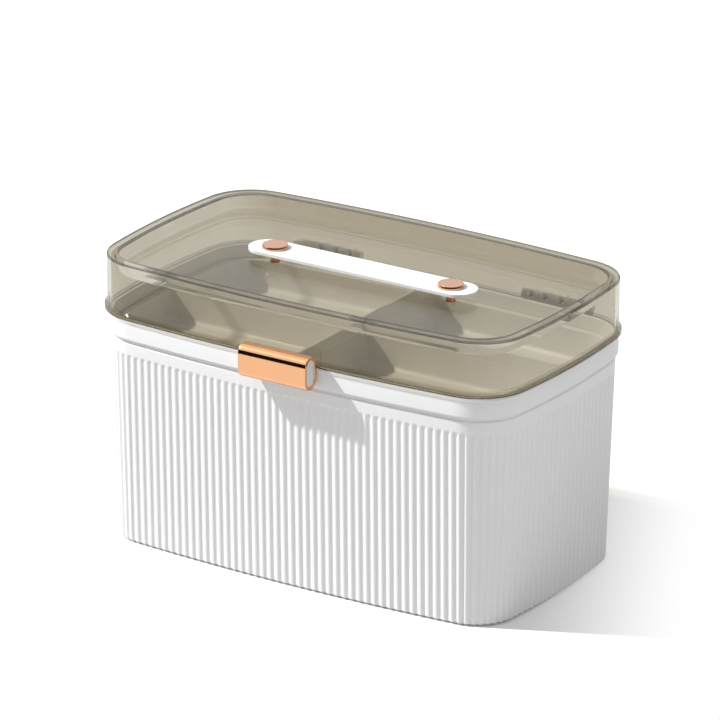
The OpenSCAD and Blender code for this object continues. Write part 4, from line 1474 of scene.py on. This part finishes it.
def floor_material(s):
    """Pale matt floor whose shadow fades out along the light, by painted light: the floor glows more
    the farther along the light it lies. A ray that sees it directly gets the lit floor or plain white,
    and light that spreads gets its own shade of grey."""
    material, tree, w, out = new_material("studio_floor")
    seen = seen_directly(tree)
    spot = w.split(object_place(tree))
    flat = Vector(LIGHT[:2]).normalized()
    along = w.plus(w.times(spot["X"], flat.x), w.times(spot["Y"], flat.y))
    # Painted light: the share of the real shading that the floor shows falls off along the light, and
    # the rest glows white
    shown = w.ramp(along, s.fade_start, s.fade_end, 1.0, 0.0)
    ray = tree.nodes.new("ShaderNodeLightPath")
    lit = blended(tree, ray.outputs["Is Camera Ray"], s.floor_mirrored, 1.0)
    base = w.plus(s.floor, w.times(seen, w.minus(w.times(shown, lit), s.floor)))
    grey = tree.nodes.new("ShaderNodeCombineColor")
    for socket in grey.inputs[:3]:
        w.link(base, socket)
    shader = tree.nodes.new("ShaderNodeBsdfPrincipled")
    shader.inputs["Roughness"].default_value = 0.9
    shader.inputs["Specular IOR Level"].default_value = 0.0
    shader.inputs["Emission Color"].default_value = (1, 1, 1, 1)
    w.link(grey.outputs[0], shader.inputs["Base Color"])
    w.link(w.times(seen, w.minus(1.0, shown)), shader.inputs["Emission Strength"])
    w.link(shader.outputs["BSDF"], out.inputs["Surface"])
    return material


def studio_sky(s):
    """Even light all round, and plain white where it is seen."""
    world = bpy.data.worlds.new("studio")
    world.use_nodes = True
    sky = world.node_tree
    background = sky.nodes["Background"]
    background.inputs["Color"].default_value = (1, 1, 1, 1)
    Wires(sky).link(blended(sky, seen_directly(sky), s.sky, 1.0), background.inputs["Strength"])
    return world


def dark_card():
    """The dark card that gives polished plating its black stripes."""
    turns = [math.radians(d) for d in CARD_SPAN]
    points = [(CARD_R * math.cos(a), CARD_R * math.sin(a), z) for z in (0.0, CARD_HIGH) for a in turns]
    n = len(turns)
    card = object_of("dark_card", mesh_of("dark_card", points, [
        (i + 1, i, n + i, n + i + 1) for i in range(n - 1)]))
    material, tree, w, out = new_material("studio_card")
    diffuse = tree.nodes.new("ShaderNodeBsdfDiffuse")
    diffuse.inputs["Color"].default_value = (0.01, 0.01, 0.01, 1.0)
    w.link(diffuse.outputs["BSDF"], out.inputs["Surface"])
    card.data.materials.append(material)
    card.visible_camera = False
    card.visible_diffuse = False
    card.visible_transmission = False
    card.visible_shadow = False
    return card


def studio_camera(scene, s):
    """The camera, turned and raised round the box and rolled a little."""
    camera = bpy.data.cameras.new("camera")
    camera.sensor_width = 36.0
    camera.lens = s.lens
    camera.clip_end = 100.0
    view = bpy.data.objects.new("camera", camera)
    scene.collection.objects.link(view)
    a, e = s.azimuth, s.elevation
    back = Vector((math.sin(a) * math.cos(e), -math.cos(a) * math.cos(e), math.sin(e)))
    right = Vector((math.cos(a), math.sin(a), 0.0))
    up = back.cross(right)
    target = AIM + right * AIM_RIGHT + up * AIM_UP
    level = Matrix((right, up, back)).transposed()
    view.matrix_world = (Matrix.Translation(target + back * s.distance)
                         @ level.to_4x4() @ Matrix.Rotation(s.roll, 4, "Z"))
    return view


class BOX_OT_stage(bpy.types.Operator):
    """Builds the floor, the studio light and the camera"""

    bl_idname = "storage_box.stage"
    bl_label = "Stage"

    def execute(self, context):
        scene = context.scene
        s = scene.box_stage
        h = FLOOR_HALF
        floor = object_of("floor", mesh_of("floor", [(-h, -h, 0), (h, -h, 0), (h, h, 0), (-h, h, 0)],
                                           [(0, 1, 2, 3)]))
        floor.location.z = -FLOOR_DROP
        floor.data.materials.append(floor_material(s))
        scene.world = studio_sky(s)
        sun(scene, "key", LIGHT, s.key, s.key_soft)
        sun(scene, "fill", FILL, s.fill, FILL_SOFT)
        dark_card()
        scene.camera = studio_camera(scene, s)
        scene.view_settings.view_transform = "Standard"
        return {"FINISHED"}


OPERATORS = (BOX_OT_body, BOX_OT_lid, BOX_OT_tray, BOX_OT_strap, BOX_OT_rivets, BOX_OT_latch,
             BOX_OT_fittings, BOX_OT_stage)


class BOX_PT_panel(bpy.types.Panel):
    """Sidebar panel with one button for each piece"""

    bl_idname = "BOX_PT_panel"
    bl_label = "Storage box"
    bl_space_type = "VIEW_3D"
    bl_region_type = "UI"
    bl_category = "Storage box"

    def draw(self, context):
        for operator in OPERATORS:
            self.layout.operator(operator.bl_idname)
        for name, group in GROUPS.items():
            column = self.layout.column()
            column.label(text=group.__doc__)
            for key in group.__annotations__:
                column.prop(getattr(context.scene, name), key)


def register():
    """Registers the settings, the operators and the panel."""
    for name, group in GROUPS.items():
        bpy.utils.register_class(group)
        setattr(bpy.types.Scene, name, PointerProperty(type=group))
    for item in OPERATORS + (BOX_PT_panel,):
        bpy.utils.register_class(item)


def unregister():
    """Removes them again."""
    for item in reversed(OPERATORS + (BOX_PT_panel,)):
        bpy.utils.unregister_class(item)
    for name, group in GROUPS.items():
        delattr(bpy.types.Scene, name)
        bpy.utils.unregister_class(group)


def main():
    """Builds every piece in order."""
    register()
    for operator in OPERATORS:
        module, name = operator.bl_idname.split(".")
        getattr(getattr(bpy.ops, module), name)()
    bpy.context.view_layer.update()


if __name__ == "__main__":
    main()
